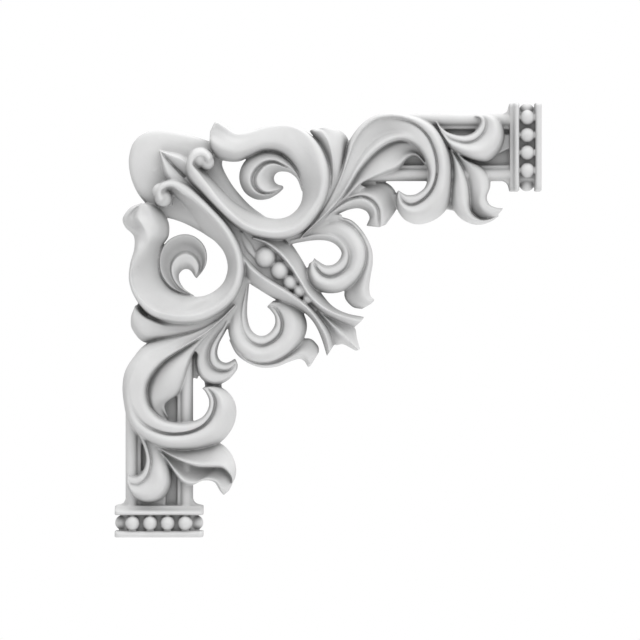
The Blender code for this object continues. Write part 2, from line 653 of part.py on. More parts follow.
    carving.leaf(
        "left_inner_blade",
        [
            [(150, 441), (160, 447.5), (172, 454.5), (185, 460.5), (198, 464.5), (211, 465), (222.5, 466),
             (231, 474), (232.5, 483), (229, 490.5)],
            [(150, 444), (160, 452), (167, 461), (173.5, 471.5), (182, 482), (192, 485), (203, 480.5),
             (214, 482), (220, 491), (223.5, 495.5)],
        ],
        BLADE_ACROSS,
        {0: (12, 12, 12, 12, 11), 2: (16, 15.5, 15.5, 17, 14), 4: (15.5, 15, 15, 19, 15), 6: (12, 12, 14, 19, 14), 9: (9, 12, 13, 12, 9)},
    )


def centre(carving):
    """The corner lobe, the bud on it, and the beaded bar that runs down between the two rings."""
    carving.leaf(
        "corner_lobe",
        [
            [(150, 208), (138, 194), (130.5, 177), (128.3, 159), (133, 142), (146, 131.5), (164, 129.5),
             (182, 132.5), (198, 137), (212, 142)],
            [(172, 206), (174, 196), (176, 186), (178, 180), (181, 177), (184, 174), (187, 171),
             (193, 167), (201, 163), (210, 158)],
        ],
        (0, 0.1, 0.35, 1),
        {0: (5, 8, 10, 12)},
    )
    carving.leaf(
        "bud",
        [
            [(160, 150.5), (167, 152), (175, 153.5), (183, 156), (191, 161), (200, 170)],
            [(161, 152), (168.5, 160.5), (176, 168.5), (184, 176), (190, 182), (198, 190)],
            [(159.5, 151.5), (160.5, 158), (162, 166), (164.5, 175), (170, 184), (180, 192)],
        ],
        (0, 0.25, 0.85, 1, 1.15, 1.75, 2),
        {0: (13, 18, 16, 13, 16, 18, 13), 3: (15, 21, 17, 13, 18, 21, 16)},
    )
    carving.leaf(
        "upper_strand",
        [
            [(252, 240), (264, 244.5), (277, 254.5), (288, 267), (297, 281), (304.5, 294.5), (313, 305),
             (324, 313.5), (338, 320.5), (354, 327.5)],
            [(253, 238), (266, 242.5), (280, 253), (291, 266), (300, 280), (308, 293), (317, 302.5),
             (329, 310.5), (343, 316), (361, 321.5)],
            [(258, 233), (275, 236), (290, 243), (298.5, 254), (306, 267), (312, 281), (320.5, 292),
             (332, 305.5), (346, 313), (364.5, 317)],
        ],
        (0, 0.5, 1, 1.3, 1.7, 2),
        {0: (15, 19, 22, 18, 15, 12), 3: (17, 22, 25, 18, 13, 9), 5: (18, 23, 26, 19, 13, 9), 9: (10, 14, 16, 14, 11, 9)},
    )
    carving.leaf(
        "lower_strand",
        [
            [(244, 254), (252, 263), (262, 273), (275, 281.5), (288, 289.5), (300, 298), (311, 307), (321, 319),
             (329.5, 332), (334, 345)],
            [(243, 258), (250, 268), (261, 277), (273, 285), (286, 292.5), (298, 300.5), (309, 310), (318, 322),
             (325.5, 336), (329.5, 352)],
            [(243, 270), (248.5, 282), (259, 289.5), (272, 297.5), (285, 304), (297, 309), (307, 315),
             (315.5, 325.5), (322, 340), (327, 356.5)],
        ],
        (0, 0.5, 1, 1.3, 1.7, 2),
        {0: (16, 20, 22, 19, 15, 10), 5: (18, 23, 25, 22, 16, 10), 9: (10, 14, 16, 14, 12, 9)},
    )
    carving.leaf(
        "bar_floor",
        [
            [(243, 232), (263, 240), (287, 260), (304, 286), (321, 307)],
            [(238, 240), (249, 263), (275, 286), (297, 301), (313, 313)],
        ],
        (0, 0.5, 1),
        {0: (14.5, 14.5, 14.5), 4: (13, 13, 13)},
    )
    carving.leaf(
        "bar_fin",
        [
            [(238, 231), (241.5, 244), (246, 252), (253.5, 259)],
            [(243.5, 233), (250, 241), (254, 247.5), (257, 255.5)],
        ],
        (0, 0.35, 1),
        {0: (15, 17, 17), 3: (15, 18.5, 18)},
    )
    carving.leaf(
        "tail_leaf",
        [
            [(312, 303), (325, 313), (339, 320), (354, 327), (357, 338), (360, 349)],
            [(312, 304), (323, 315), (333, 325.5), (342, 334.5), (350, 342), (358.5, 350)],
            [(311, 305), (320, 318), (328, 331), (334.5, 344.5), (343.5, 344.5), (356, 351)],
        ],
        (0, 0.5, 1, 1.5, 2),
        {0: (12, 13, 14, 13, 12), 3: (8, 10, 15, 10, 8), 5: (9, 10, 12, 10, 9)},
    )
    for number, (square, radius) in enumerate(
        [((265.5, 257), 10.8), ((280, 270.5), 9.2), ((290.3, 282), 6.8), ((299.3, 290.5), 5.6), ((307, 298.5), 4)], 1
    ):
        carving.bead(f"bar_bead_{number}", on_wall(square), (14.5 + 0.3 * radius) * STEP_UP, radius * SQUARE)


def knobs(carving):
    """The round ends that the two ring scrolls curl into."""
    for name, square in (("upper_knob", UPPER_KNOB), ("left_knob", LEFT_KNOB)):
        carving.bead(name, on_wall(square), KNOB_HEIGHT * STEP_UP, KNOB_RADIUS * SQUARE)


def ground(carving):
    """The low web behind the leaves that joins them where they only touch or overlap."""
    root = 13
    low = 5
    webs = {
        "between_rings": (11, [(152, 172), (172, 192), (195, 212), (218, 234), (238, 258)],
                          [(172, 158), (196, 184), (222, 210), (245, 232), (264, 246)]),
        "above_level_root": (10, [(313, 148), (319, 158), (322, 172), (322, 187), (317, 201), (308, 216), (292, 234)],
                             [(330, 137), (340, 148), (342, 162), (339, 180), (332, 202), (321, 220), (301, 241)]),
        "beside_down_root": (11.5, [(150, 312), (159, 316), (171, 318), (188, 317), (206, 312), (222, 303), (238, 292)],
                             [(141, 328), (152, 339), (170, 342), (190, 337), (209, 328), (224, 315), (246, 297)]),
        "level_root": (root, [(305, 232), (322, 212), (338, 196), (353, 180.6)],
                       [(312, 236), (328, 220), (345, 205), (366, 187.3)]),
        "down_root": (root, [(232, 306), (216, 320), (203, 335), (195, 350)],
                      [(236, 310), (222, 326), (209, 344), (199, 356)]),
        "down_root_floor": (low, [(205, 335), (196, 350), (188, 376)], [(212, 342), (204, 358), (197, 379)]),
        "level_hook_joint": (low, [(392, 194), (392, 207)], [(402, 195), (401, 209)]),
        "down_hook_joint": (low, [(204, 381), (221, 382)], [(206, 393), (222, 392)]),
        "upper_droop_root": (root, [(280, 234), (296, 234), (312, 228), (326, 220)],
                             [(289.5, 244.5), (299, 242), (317, 238), (334, 226)]),
        "lower_droop_root": (root, [(236, 268), (233, 286), (229, 303), (222, 318)],
                             [(251, 281.5), (247, 287), (244, 306), (234, 326)]),
        "level_hook_root": (low, [(324, 217), (333, 214), (341.5, 214.5)], [(327, 228), (335, 222), (342.5, 219)]),
        "bar_joint": (low, [(303, 268), (306, 282)], [(313, 267), (314, 284)]),
        "level_blades": (low, [(452, 160), (457, 185), (461, 205), (470, 218)],
                         [(472, 160), (480, 180), (478, 200), (482, 216)]),
        "down_blades": (low, [(160, 447), (185, 457), (205, 462), (222, 462)],
                        [(165, 458), (185, 475), (205, 478), (224, 482)]),
    }
    for number, (name, (height, *rails)) in enumerate(webs.items()):
        height = height + number / 20
        carving.leaf(name, rails, (0, 1), {0: (height, height)}, longest=60)


def rail_profile(inner_edge, outer_edge):
    """A round-topped rail between two sideways places, from its inner to its outer foot."""
    middle = (inner_edge + outer_edge) / 2
    half = (outer_edge - inner_edge) / 2
    shoulder = 0.62 * RAIL_HEIGHT
    points = []
    for angle in np.linspace(180, 0, RAIL_FACETS):
        rise = np.sin(np.radians(angle)) * (RAIL_HEIGHT - shoulder)
        points.append((middle + half * np.cos(np.radians(angle)), shoulder + rise))
    return points


def arm(carving, name, rail_starts, reach, axis, outward, bead_shift=0):
    """One length of moulding with its collar. Outward points from the arm's centre line to the frame's outside."""
    half = MOULDING_WIDTH / 2
    collar_start = reach - COLLAR_LENGTH
    overlap = COLLAR_RING_LENGTH / 2
    fillet = half - RAIL_WIDTH - FILLET_WIDTH
    for side, start in zip((1, -1), rail_starts):
        across = side * np.array(outward)
        end = collar_start + overlap
        rail = f"{name}_{'outer' if side > 0 else 'inner'}"
        carving.bar(f"{rail}_rail", rail_profile(half - RAIL_WIDTH, half), start, end, axis, across)
        step = [(fillet, 0.8 * FILLET_HEIGHT), (fillet + 0.3 * FILLET_WIDTH, FILLET_HEIGHT),
                (half - RAIL_WIDTH / 2, FILLET_HEIGHT)]
        carving.bar(f"{rail}_fillet", step, start, end - overlap / 4, axis, across)
        carving.slab(f"{rail}_gusset", [
            (collar_start - GUSSET_LENGTH, half - RAIL_WIDTH / 2), (collar_start - GUSSET_LENGTH, half),
            (collar_start - 0.5 * GUSSET_LENGTH, half + 0.15 * GUSSET_WIDTH),
            (collar_start - 0.2 * GUSSET_LENGTH, half + 0.45 * GUSSET_WIDTH),
            (collar_start, half + GUSSET_WIDTH), (collar_start + overlap, half + GUSSET_WIDTH),
            (collar_start + overlap, half - RAIL_WIDTH / 2)], 0.85 * RAIL_HEIGHT, axis, across)
    inside = half - RAIL_WIDTH / 2
    channel = [(-inside, CHANNEL_HEIGHT), (inside, CHANNEL_HEIGHT)]
    carving.bar(f"{name}_channel", channel, sum(rail_starts) / 2, collar_start + overlap, axis, outward)
    collar(carving, name, collar_start, reach, axis, outward, bead_shift)


def collar(carving, name, start, reach, axis, outward, bead_shift):
    """Two raised rings with a row of beads between them, on the front and round both sides."""
    half = COLLAR_WIDTH / 2
    corner = 0.2 * COLLAR_HEIGHT
    cove_and_torus = ((0, 0.66), (0.3, 0.74), (0.55, 0.95), (0.75, 1), (0.93, 0.97), (1, 0.88))
    flat_torus = ((0, 0.88), (0.2, 0.97), (0.5, 1), (0.8, 0.98), (1, 0.9))
    for ring, foot, length, profile in (("ring", start, COLLAR_RING_LENGTH, cove_and_torus),
                                        ("end", reach - COLLAR_END_LENGTH, COLLAR_END_LENGTH, flat_torus)):
        section = [(foot + share * length, rise * COLLAR_HEIGHT) for share, rise in profile]
        carving.block(f"{name}_collar_{ring}", [
            [(*(along * np.array(axis) + sideways * np.array(outward))[::2], height - drop)
             for along, height in section]
            for sideways, drop in ((-half, corner), (-half + 0.3 * corner, 0.3 * corner), (-half + corner, 0),
                                   (half - corner, 0), (half - 0.3 * corner, 0.3 * corner), (half, corner))
        ])
    neck_half = half - BEAD_RADIUS
    neck_height = COLLAR_HEIGHT - 1.1 * BEAD_RADIUS
    neck = [(-neck_half, neck_height - corner), (-neck_half + corner, neck_height),
            (neck_half - corner, neck_height), (neck_half, neck_height - corner)]
    overlap = COLLAR_END_LENGTH / 3
    neck_start = start + COLLAR_RING_LENGTH - overlap
    neck_end = reach - COLLAR_END_LENGTH + overlap
    carving.bar(f"{name}_collar_neck", neck, neck_start, neck_end, axis, outward)
    row = (neck_start + neck_end) / 2
    half_row = BEAD_SPACING * (BEADS_IN_A_COLLAR - 1) / 2
    places = [(bead_shift - half_row + k * BEAD_SPACING, neck_height + 0.4 * BEAD_RADIUS)
              for k in range(BEADS_IN_A_COLLAR)]
    places += [(side * neck_half, 0.5 * neck_height) for side in (-1, 1)]
    for number, (sideways, height) in enumerate(places, 1):
        place = row * np.array(axis) + sideways * np.array(outward)
        carving.bead(f"{name}_collar_bead_{number}", (place[0], place[2]), height, BEAD_RADIUS)


def arms(carving):
    """Both arms. Each rail starts where the scroll over it hides its end."""
    arm(carving, "level", ((402 - ORIGIN_ACROSS) * SQUARE, (368 - ORIGIN_ACROSS) * SQUARE),
        LEVEL_ARM_REACH, (1, 0, 0), (0, 0, 1), LEVEL_BEAD_SHIFT)
    arm(carving, "down", ((404 - ORIGIN_DOWN) * SQUARE, (352 - ORIGIN_DOWN) * SQUARE),
        DOWN_ARM_REACH, (0, 0, -1), (-1, 0, 0))


def boolean(obj, name, operation, **operand):
    modifier = obj.modifiers.new(name, "BOOLEAN")
    modifier.operation = operation
    modifier.solver = "EXACT"
    modifier.use_self = True
    for key, value in operand.items():
        setattr(modifier, key, value)


def wall_cutter():
    """Everything behind the wall plane, which the casting must not have."""
    reach = 2 * OVERALL_WIDTH
    depth = 4 * SPARE_BEHIND
    mesh = bmesh.new()
    bmesh.ops.create_cube(mesh, size=1)
    bmesh.ops.scale(mesh, vec=(2 * reach, depth, 2 * reach), verts=mesh.verts)
    bmesh.ops.translate(mesh, vec=(0, depth / 2, 0), verts=mesh.verts)
    cutter = finished("wall_cutter", mesh)
    cutter.hide_render = True
    cutter.display_type = "WIRE"
    bpy.context.scene.collection.objects.link(cutter)
    return cutter


def plaster():
    material = bpy.data.materials.new("plaster")
    material.use_nodes = True
    shader = material.node_tree.nodes["Principled BSDF"]
    shader.inputs["Base Color"].default_value = (0.80, 0.80, 0.79, 1)
    shader.inputs["Roughness"].default_value = 0.7
    shader.inputs["Metallic"].default_value = 0
    return material


def main():
    for obj in list(bpy.data.objects):
        bpy.data.objects.remove(obj)
    carving = Carving()
    arms(carving)
    ground(carving)
    centre(carving)
    knobs(carving)
    upper_side(carving)
    left_side(carving)
    seed = carving.collection.objects["corner_lobe"]
    casting = bpy.data.objects.new("corner_moulding", seed.data)
    carving.collection.objects.unlink(seed)
    bpy.context.scene.collection.objects.link(casting)
    casting.data.materials.append(plaster())
    boolean(casting, "join_carving", "UNION", operand_type="COLLECTION", collection=carving.collection)
    boolean(casting, "cut_at_wall", "DIFFERENCE", object=wall_cutter())


main()
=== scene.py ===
"""Looks of the carved plaster corner: the leaves at full smoothness, the cast surface, the light, the camera.

The pattern sheet, its squares and the steps above the wall are the same as in the part's own source, so each
carved form lies on the solid that it stands for.
"""
import bpy
import bmesh
import numpy as np
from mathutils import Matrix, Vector


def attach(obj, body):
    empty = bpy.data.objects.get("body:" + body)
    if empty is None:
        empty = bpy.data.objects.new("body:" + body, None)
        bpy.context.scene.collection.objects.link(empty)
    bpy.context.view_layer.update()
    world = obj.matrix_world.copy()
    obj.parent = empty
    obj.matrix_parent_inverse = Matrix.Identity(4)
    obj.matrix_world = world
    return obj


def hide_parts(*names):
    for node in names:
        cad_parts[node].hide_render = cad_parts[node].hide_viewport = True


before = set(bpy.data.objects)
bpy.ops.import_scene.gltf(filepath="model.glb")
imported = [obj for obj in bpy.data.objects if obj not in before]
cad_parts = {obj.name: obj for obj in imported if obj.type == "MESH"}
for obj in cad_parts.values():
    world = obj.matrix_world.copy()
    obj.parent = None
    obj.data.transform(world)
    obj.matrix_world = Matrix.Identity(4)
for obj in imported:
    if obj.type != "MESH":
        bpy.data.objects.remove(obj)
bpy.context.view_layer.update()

# Sizes that the part's source gives, in metres
OVERALL_WIDTH = 0.300
RELIEF_HEIGHT = 0.0255
LEVEL_ARM_REACH = 0.268
DOWN_ARM_REACH = 0.2735
MOULDING_WIDTH = 0.0472
RAIL_WIDTH = 0.0086
RAIL_HEIGHT = 0.0108
CHANNEL_HEIGHT = 0.0040
COLLAR_WIDTH = 0.0620
COLLAR_LENGTH = 0.0222
COLLAR_HEIGHT = 0.0165
COLLAR_RING_LENGTH = 0.0066
COLLAR_END_LENGTH = 0.0045
BEAD_RADIUS = 0.0052
BEAD_SPACING = 0.0123
BEADS_IN_A_COLLAR = 4
LEVEL_BEAD_SHIFT = 0.0021
FILLET_WIDTH = 0.0028
FILLET_HEIGHT = 0.0078
GUSSET_LENGTH = 0.0045
GUSSET_WIDTH = 0.0066
PATTERN_WIDTH = 428
ORIGIN_ACROSS = 159
ORIGIN_DOWN = 147
PATTERN_RELIEF = 30
SQUARE = OVERALL_WIDTH / PATTERN_WIDTH
STEP_UP = RELIEF_HEIGHT / PATTERN_RELIEF

# The moulding's profiles, as shares of the sizes above
RAIL_SHOULDER = 0.62
FILLET_FOOT = 0.8
FILLET_SHOULDER = 0.3
GUSSET_RISE = 0.85
GUSSET_CURVE = ((1, 0), (0.5, 0.15), (0.2, 0.45), (0, 1))
COLLAR_CORNER = 0.2
CORNER_CURVE = 0.3
COVE_AND_TORUS = ((0, 0.66), (0.3, 0.74), (0.55, 0.95), (0.75, 1), (0.93, 0.97), (1, 0.88))
FLAT_TORUS = ((0, 0.88), (0.2, 0.97), (0.5, 1), (0.8, 0.98), (1, 0.9))
NECK_DROP = 1.1
BEAD_SEAT = 0.4

# How finely the surfaces are divided, in squares and degrees
LONGEST_STEP = 2.2
SHARPEST_TURN = 7
SAMPLES_PER_POINT = 40
COLUMN_WIDTH = 1.6
FEWEST_COLUMNS = 8
MOST_COLUMNS = 60
LEAST_LEAF_WIDTH = 0.8
EDGE_ROUND = 1.6
RAIL_FACETS = 25
BLOCK_FINENESS = 5
BEAD_SEGMENTS = 32
BEAD_RINGS = 20

# The casting: how far the shells reach behind the wall, where they are cut, and how the skin is made
BEHIND = 0.003
VOXEL = 0.00045
SOFTENING = 0.5
SOFTENING_ROUNDS = 5
TRIANGLES = 185000
WALL_TOLERANCE = 1e-7


def on_wall(square):
    """Metres right and up from the origin for a square of the pattern."""
    across, down = square
    return ((across - ORIGIN_ACROSS) * SQUARE, (ORIGIN_DOWN - down) * SQUARE)


def spline(points, positions):
    """A Catmull-Rom curve through the points, at positions counted in points from the first."""
    points = np.array(points, float)
    last = len(points) - 1
    ghosts = np.vstack([2 * points[0] - points[1], points, 2 * points[-1] - points[-2]])
    piece = np.clip(np.floor(positions).astype(int), 0, last - 1)
    t = (positions - piece)[:, None]
    p0, p1, p2, p3 = (ghosts[piece + k] for k in range(4))
    return 0.5 * (
        2 * p1 + (p2 - p0) * t + (2 * p0 - 5 * p1 + 4 * p2 - p3) * t**2 + (3 * p1 - p0 - 3 * p2 + p3) * t**3
    )


def eased(places, values, wanted):
    """Values at the wanted places: a smooth curve that never swings past the values it is given."""
    places, values = np.array(places, float), np.array(values, float)
    if len(places) == 1:
        return np.repeat(values, len(wanted), axis=0)
    gaps = np.diff(places)
    slopes = np.diff(values, axis=0) / gaps.reshape(-1, *[1] * (values.ndim - 1))
    tangents = np.zeros_like(values)
    tangents[0], tangents[-1] = slopes[0], slopes[-1]
    before, after = slopes[:-1], slopes[1:]
    same = before * after > 0
    total = np.where(same, before + after, 1)
    tangents[1:-1] = np.where(same, 2 * before * after / total, 0)
    k = np.clip(np.searchsorted(places, wanted, side="right") - 1, 0, len(gaps) - 1)
    shape = (-1, *[1] * (values.ndim - 1))
    gap = gaps[k].reshape(shape)
    t = np.clip((np.array(wanted, float) - places[k]) / gaps[k], 0, 1).reshape(shape)
    return (
        (2 * t**3 - 3 * t**2 + 1) * values[k] + (t**3 - 2 * t**2 + t) * gap * tangents[k]
        + (3 * t**2 - 2 * t**3) * values[k + 1] + (t**3 - t**2) * gap * tangents[k + 1]
    )


def stations(rails):
    """Positions along the rails for each row of the surface, closer together where the leaf bends."""
    dense = np.linspace(0, len(rails[0]) - 1, SAMPLES_PER_POINT * len(rails[0]))
    steps = np.array([np.diff(spline(rail, dense), axis=0) for rail in rails])
    lengths = np.max(np.linalg.norm(steps, axis=2), axis=0)
    headings = np.unwrap(np.arctan2(steps[:, :, 1], steps[:, :, 0]), axis=1)
    turns = np.mean(np.abs(np.gradient(headings, axis=1)), axis=0)
    travelled = np.concatenate([[0], np.cumsum(lengths / LONGEST_STEP + turns / np.radians(SHARPEST_TURN))])
    count = max(2, round(travelled[-1])) + 1
    return np.interp(np.linspace(0, travelled[-1], count), travelled, dense)


def surface_points(rails, across, heights):
    """A fine grid of (across, down, height) points along and across a leaf, its edges rounded over."""
    positions = stations(rails)
    curves = np.array([spline(rail, positions) for rail in rails])
    broadest = np.max(np.sum(np.linalg.norm(np.diff(curves, axis=0), axis=2), axis=0))
    columns = int(np.clip(broadest / COLUMN_WIDTH, FEWEST_COLUMNS, MOST_COLUMNS))
    shares = np.linspace(0, len(rails) - 1, columns + 1)
    stated = sorted(heights)
    levels = eased(stated, [heights[place] for place in stated], positions)
    levels = eased(across, levels.T, shares).T
    first = np.minimum(shares.astype(int), len(rails) - 2)
    part = (shares - first)[:, None, None]
    plan = (curves[first] * (1 - part) + curves[first + 1] * part).transpose(1, 0, 2)
    plan = widened(plan)
    along = np.concatenate([np.zeros((len(plan), 1)),
                            np.cumsum(np.linalg.norm(np.diff(plan, axis=1), axis=2), axis=1)], axis=1)
    inward = np.minimum(along, along[:, -1:] - along)
    radius = np.minimum(EDGE_ROUND, along[:, -1:] / 2)
    short = np.clip(radius - inward, 0, None)
    levels = levels - (radius - np.sqrt(np.clip(radius**2 - short**2, 0, None)))
    return np.concatenate([plan, levels[:, :, None]], axis=2)


def widened(plan):
    """The grid with its narrowest rows spread about their middles, where a leaf's tip closes to nothing."""
    middles = (plan[:, 0] + plan[:, -1]) / 2
    travel = np.gradient(middles, axis=0)
    travel /= np.linalg.norm(travel, axis=1)[:, None]
    sideways = np.stack([-travel[:, 1], travel[:, 0]], axis=1)
    widths = np.sum((plan[:, -1] - plan[:, 0]) * sideways, axis=1)
    side = np.sign(np.sum(widths))
    shares = np.linspace(-0.5, 0.5, plan.shape[1])[:, None]
    for k, width in enumerate(widths * side):
        if width < LEAST_LEAF_WIDTH:
            plan[k] = middles[k] + shares * side * LEAST_LEAF_WIDTH * sideways[k]
    return plan


class Carving:
    """All the leaves, bars and beads as named closed shells, ready to be cast as one skin."""

    def __init__(self):
        self.shells = {}

    def shell(self, name, points, faces):
        """A closed shell under a name of its own."""
        if name in self.shells:
            raise ValueError(f"two shells are called {name}")
        self.shells[name] = (np.array(points), faces)

    def leaf(self, name, rails, across, heights):
        """A leaf between rails on the pattern sheet, with its heights in steps above the wall."""
        grid = surface_points(rails, across, heights)
        right, up = on_wall((grid[:, :, 0], grid[:, :, 1]))
        self.sheet(name, np.stack([right, up, grid[:, :, 2] * STEP_UP], axis=2))

    def block(self, name, grid):
        """A block whose face is a coarse grid of (right, up, height) points in metres, drawn smoothly."""
        grid = np.array(grid)
        for axis in (0, 1):
            count = grid.shape[axis]
            places = np.linspace(0, count - 1, BLOCK_FINENESS * count)
            grid = np.moveaxis(eased(range(count), np.moveaxis(grid, axis, 0), places), 0, axis)
        self.sheet(name, grid)

    def sheet(self, name, grid):
        """A closed shell with the grid of (right, up, height) points as its face."""
        rows, columns = grid.shape[:2]
        face = (grid[:, :, (0, 2, 1)] * (1, -1, 1)).reshape(-1, 3)
        rear = face.copy()
        rear[:, 1] = BEHIND
        count = rows * columns
        at = np.arange(count).reshape(rows, columns)
        quads = np.stack([at[:-1, :-1], at[:-1, 1:], at[1:, 1:], at[1:, :-1]], axis=2).reshape(-1, 4)
        rim = [*at[0], *at[1:-1, -1], *at[-1, ::-1], *at[-2:0:-1, 0]]
        walls = [[rim[k], rim[k - 1], rim[k - 1] + count, rim[k] + count] for k in range(len(rim))]
        self.shell(name, np.vstack([face, rear]), [*quads, *(quads[:, ::-1] + count), *walls])

    def bead(self, name, place, height, radius):
        """A round bead; place, height above the wall and radius in metres."""
        mesh = bmesh.new()
        bmesh.ops.create_uvsphere(mesh, u_segments=BEAD_SEGMENTS, v_segments=BEAD_RINGS, radius=radius)
        points = np.array([v.co[:] for v in mesh.verts]) + (place[0], -height, place[1])
        self.shell(name, points, [[v.index for v in f.verts] for f in mesh.faces])
        mesh.free()

    def bar(self, name, profile, start, end, axis, sideways):
        """A straight length with one cross-section: profile is (sideways, height) in metres."""
        outline = [*profile, (profile[-1][0], -BEHIND), (profile[0][0], -BEHIND)]
        points = [
            along * np.array(axis) + across * np.array(sideways) + np.array((0, -height, 0))
            for along in (start, end) for across, height in outline
        ]
        self.prism(name, points)

    def slab(self, name, outline, height, axis, sideways):
        """A flat-faced block of one height, its outline given as (along, sideways) in metres."""
        points = [
            along * np.array(axis) + across * np.array(sideways) + np.array((0, painted_shade_ramp, 0))
            for painted_shade_ramp in (-height, BEHIND) for along, across in outline
        ]
        self.prism(name, points)

    def prism(self, name, points):
        """A shell between two outlines, the points of the one and then those of the other."""
        n = len(points) // 2
        sides = [[k, (k + 1) % n, n + (k + 1) % n, n + k] for k in range(n)]
        self.shell(name, points, [*sides, list(range(n))[::-1], list(range(n, 2 * n))])


# The leaves on the pattern sheet. Rails are the lines that a surface runs between, across are the places
# of its cross-section, counted in rails, and heights are the steps above the wall there, by rail point.
RING_ACROSS = (0, 0.3, 0.75, 1, 1.15, 1.35, 1.65, 1.88, 2)
HOOK_ACROSS = (0, 0.35, 0.75, 1, 1.2, 1.6, 2)
SCROLL_ACROSS = (0, 0.25, 0.6, 0.88, 1, 1.15, 1.55, 1.85, 2)
SPRIG_ACROSS = (0, 0.35, 0.7, 1)
BLADE_ACROSS = (0, 0.25, 0.6, 0.88, 1)

RING_HEIGHTS = {
    0: (11, 14, 16, 17, 17, 17, 17, 15, 11),
    24: (15, 25, 28, 28, 27, 25, 21, 16, 12),
    25: (14, 25, 29, 29, 28, 27, 23, 17, 13),
    26: (11, 17, 19, 19, 19, 19, 17, 14, 11),
}
UPPER_RING_HEIGHTS = {
    **RING_HEIGHTS,
    1: (11, 15, 18, 18, 17, 17, 20, 18, 12),
    3: (11, 16, 19, 19.5, 20, 22, 23, 17, 11),
    5: (12, 17, 20, 21, 22, 23, 24, 21, 14),
    7: (13, 21, 23, 23, 23, 23, 22, 17, 11),
    9: (14, 24, 26, 26, 25, 22, 17, 12, 8),
    12: (14, 26, 29, 28, 24, 20, 14, 9, 6),
    16: (15, 27, 29, 25, 20, 18, 15, 11, 8),
    19: (15, 27, 29, 27, 22, 19, 14, 10, 7),
    22: (15, 26, 29, 28, 24, 21, 17, 13, 10),
}
LEFT_RING_HEIGHTS = {
    **RING_HEIGHTS,
    1: (11, 15, 18, 18, 16, 18, 21, 17, 11),
    3: (8, 10, 11, 11, 14, 26, 22, 13, 8),
    4: (9, 13, 16, 19, 24, 27, 20, 11, 7),
    5: (12, 20, 25, 26, 26, 24, 16, 9, 6),
    7: (13, 22, 23, 21, 18, 15, 11, 7, 5),
    9: (13, 23, 24, 22, 18, 15, 12, 9, 7),
    11: (15, 27, 28.5, 25, 22, 21, 20, 17, 12),
    13: (15, 27, 29, 27, 23, 20, 16, 11, 8),
    16: (14, 26, 29, 28, 24, 18, 12, 8, 6),
    19: (15, 27, 29, 27, 22, 17, 12, 9, 7),
    22: (15, 26, 29, 28, 24, 20, 17, 13, 10),
}
HOOK_HEIGHTS = {
    0: (8, 8, 8, 8, 8, 8, 7),
    2: (9, 14, 16, 13, 15, 12, 7),
    5: (10, 16, 18, 13.5, 19, 15, 8),
    10: (8, 13, 17, 13, 18, 14, 7),
    13: (7, 8, 9, 9, 9, 8, 7),
}
CUPPED_HOOK_HEIGHTS = {
    0: (8, 8, 8, 8, 8, 8, 7),
    2: (10, 9, 8, 8, 13, 12, 7),
    5: (9, 6, 4, 5, 15, 13, 7),
    8: (10, 7, 4, 5, 15, 14, 7),
    11: (10, 8, 6, 6, 13, 13, 7),
    13: (7, 8, 8, 8, 8, 8, 7),
}
SCROLL_HEIGHTS = {
    0: (11, 14, 16, 16, 16, 17, 17, 15, 12),
    2: (13, 16, 18, 18, 18, 18, 19, 19, 16),
    4: (9, 17, 20, 20, 19, 19, 20, 23, 20),
    6: (9, 19, 21, 20, 19, 18, 18, 23, 21),
    8: (13, 21, 22, 20, 19, 18, 17, 24, 22),
    12: (12, 22, 25, 24, 20, 24, 24, 23, 16),
    15: (10, 21, 26, 24, 19, 24, 24, 21, 13),
    20: (9, 19, 25, 22, 18, 22, 22, 19, 11),
    24: (9, 13, 15, 15, 14, 14, 14, 13, 9),
}
DROOP_ACROSS = (0, 0.3, 0.75, 0.92, 1, 1.12, 1.5, 1.8, 2)
DROOP_HEIGHTS = {
    0: (9, 12, 14, 14, 13, 13, 12, 10, 8),
    2: (9, 14, 16, 15, 14, 14, 13, 10, 7),
    4: (9, 15, 17, 16, 16, 18, 20, 18, 13),
    7: (9, 17, 18, 16, 14, 18, 22, 20, 13),
    10: (9, 16, 17, 15, 13, 17, 20, 17, 11),
    12: (9, 11, 13, 13, 13, 14, 14, 12, 9),
}
TAIL_ACROSS = (0, 0.3, 0.75, 1)
TAIL_HEIGHTS = {0: (10, 12, 13, 9), 3: (9, 11, 15, 10), 6: (8, 11, 16, 11), 9: (10, 14, 14, 10)}
SPRIG_HEIGHTS = {0: (14, 16, 15, 9), 3: (19, 18, 16, 7), 6: (16, 17, 16, 9), 8: (14, 15, 14, 11)}

# Round forms: the square, the radius and, for a knob, the height of its middle in steps
KNOBS = {
    "upper_knob_top": ((199.5, 158), 9.5, 19),
    "upper_knob_lobe": ((207, 162.5), 7.5, 19.5),
    "left_knob_top": ((160.5, 191.5), 8, 19),
    "left_knob_lobe": ((163.5, 198), 8.7, 19),
}
BAR_BEADS = (((265.5, 257.3), 10.8), ((280, 270.5), 9.3), ((290.6, 282.3), 7.4), ((299.8, 290.8), 6.2),
             ((307.5, 299), 4.6))
BAR_BEAD_TOP = 20.5
BAR_BEAD_SINK = 0.45

# Heights of the webs behind the leaves. Each is a little higher than the last, so that no two share a plane.
ROOT_WEB = 13
LOW_WEB = 5
WEBS_PER_STEP = 20

# The squares at which each arm's outer and inner rail start
LEVEL_RAIL_STARTS = (402, 368)
DOWN_RAIL_STARTS = (404, 352)

# The room, lamps, floor and camera. A lamp's first number is counted from the middle of the sheet.
ROOM_LIGHT = 1.85
BELOW_SHARE = 0.85
LEVEL_SHARE = 0.12
LEAN_RIGHT = 0.3
LAMP_SIZE = (1.5, 1.0)
LAMPS = {"overhead": ((0.05, -0.75, 1.15), 6), "low": ((-0.1, -1.15, -1.0), 3)}
FLOOR_LEVEL = -1.5
FLOOR_REACH = 1.5
SHEET_SQUARES = 640
CENTRE = on_wall((SHEET_SQUARES / 2, SHEET_SQUARES / 2))
CAMERA_DISTANCE = 2.75
SHARP_PLANE = 0.010


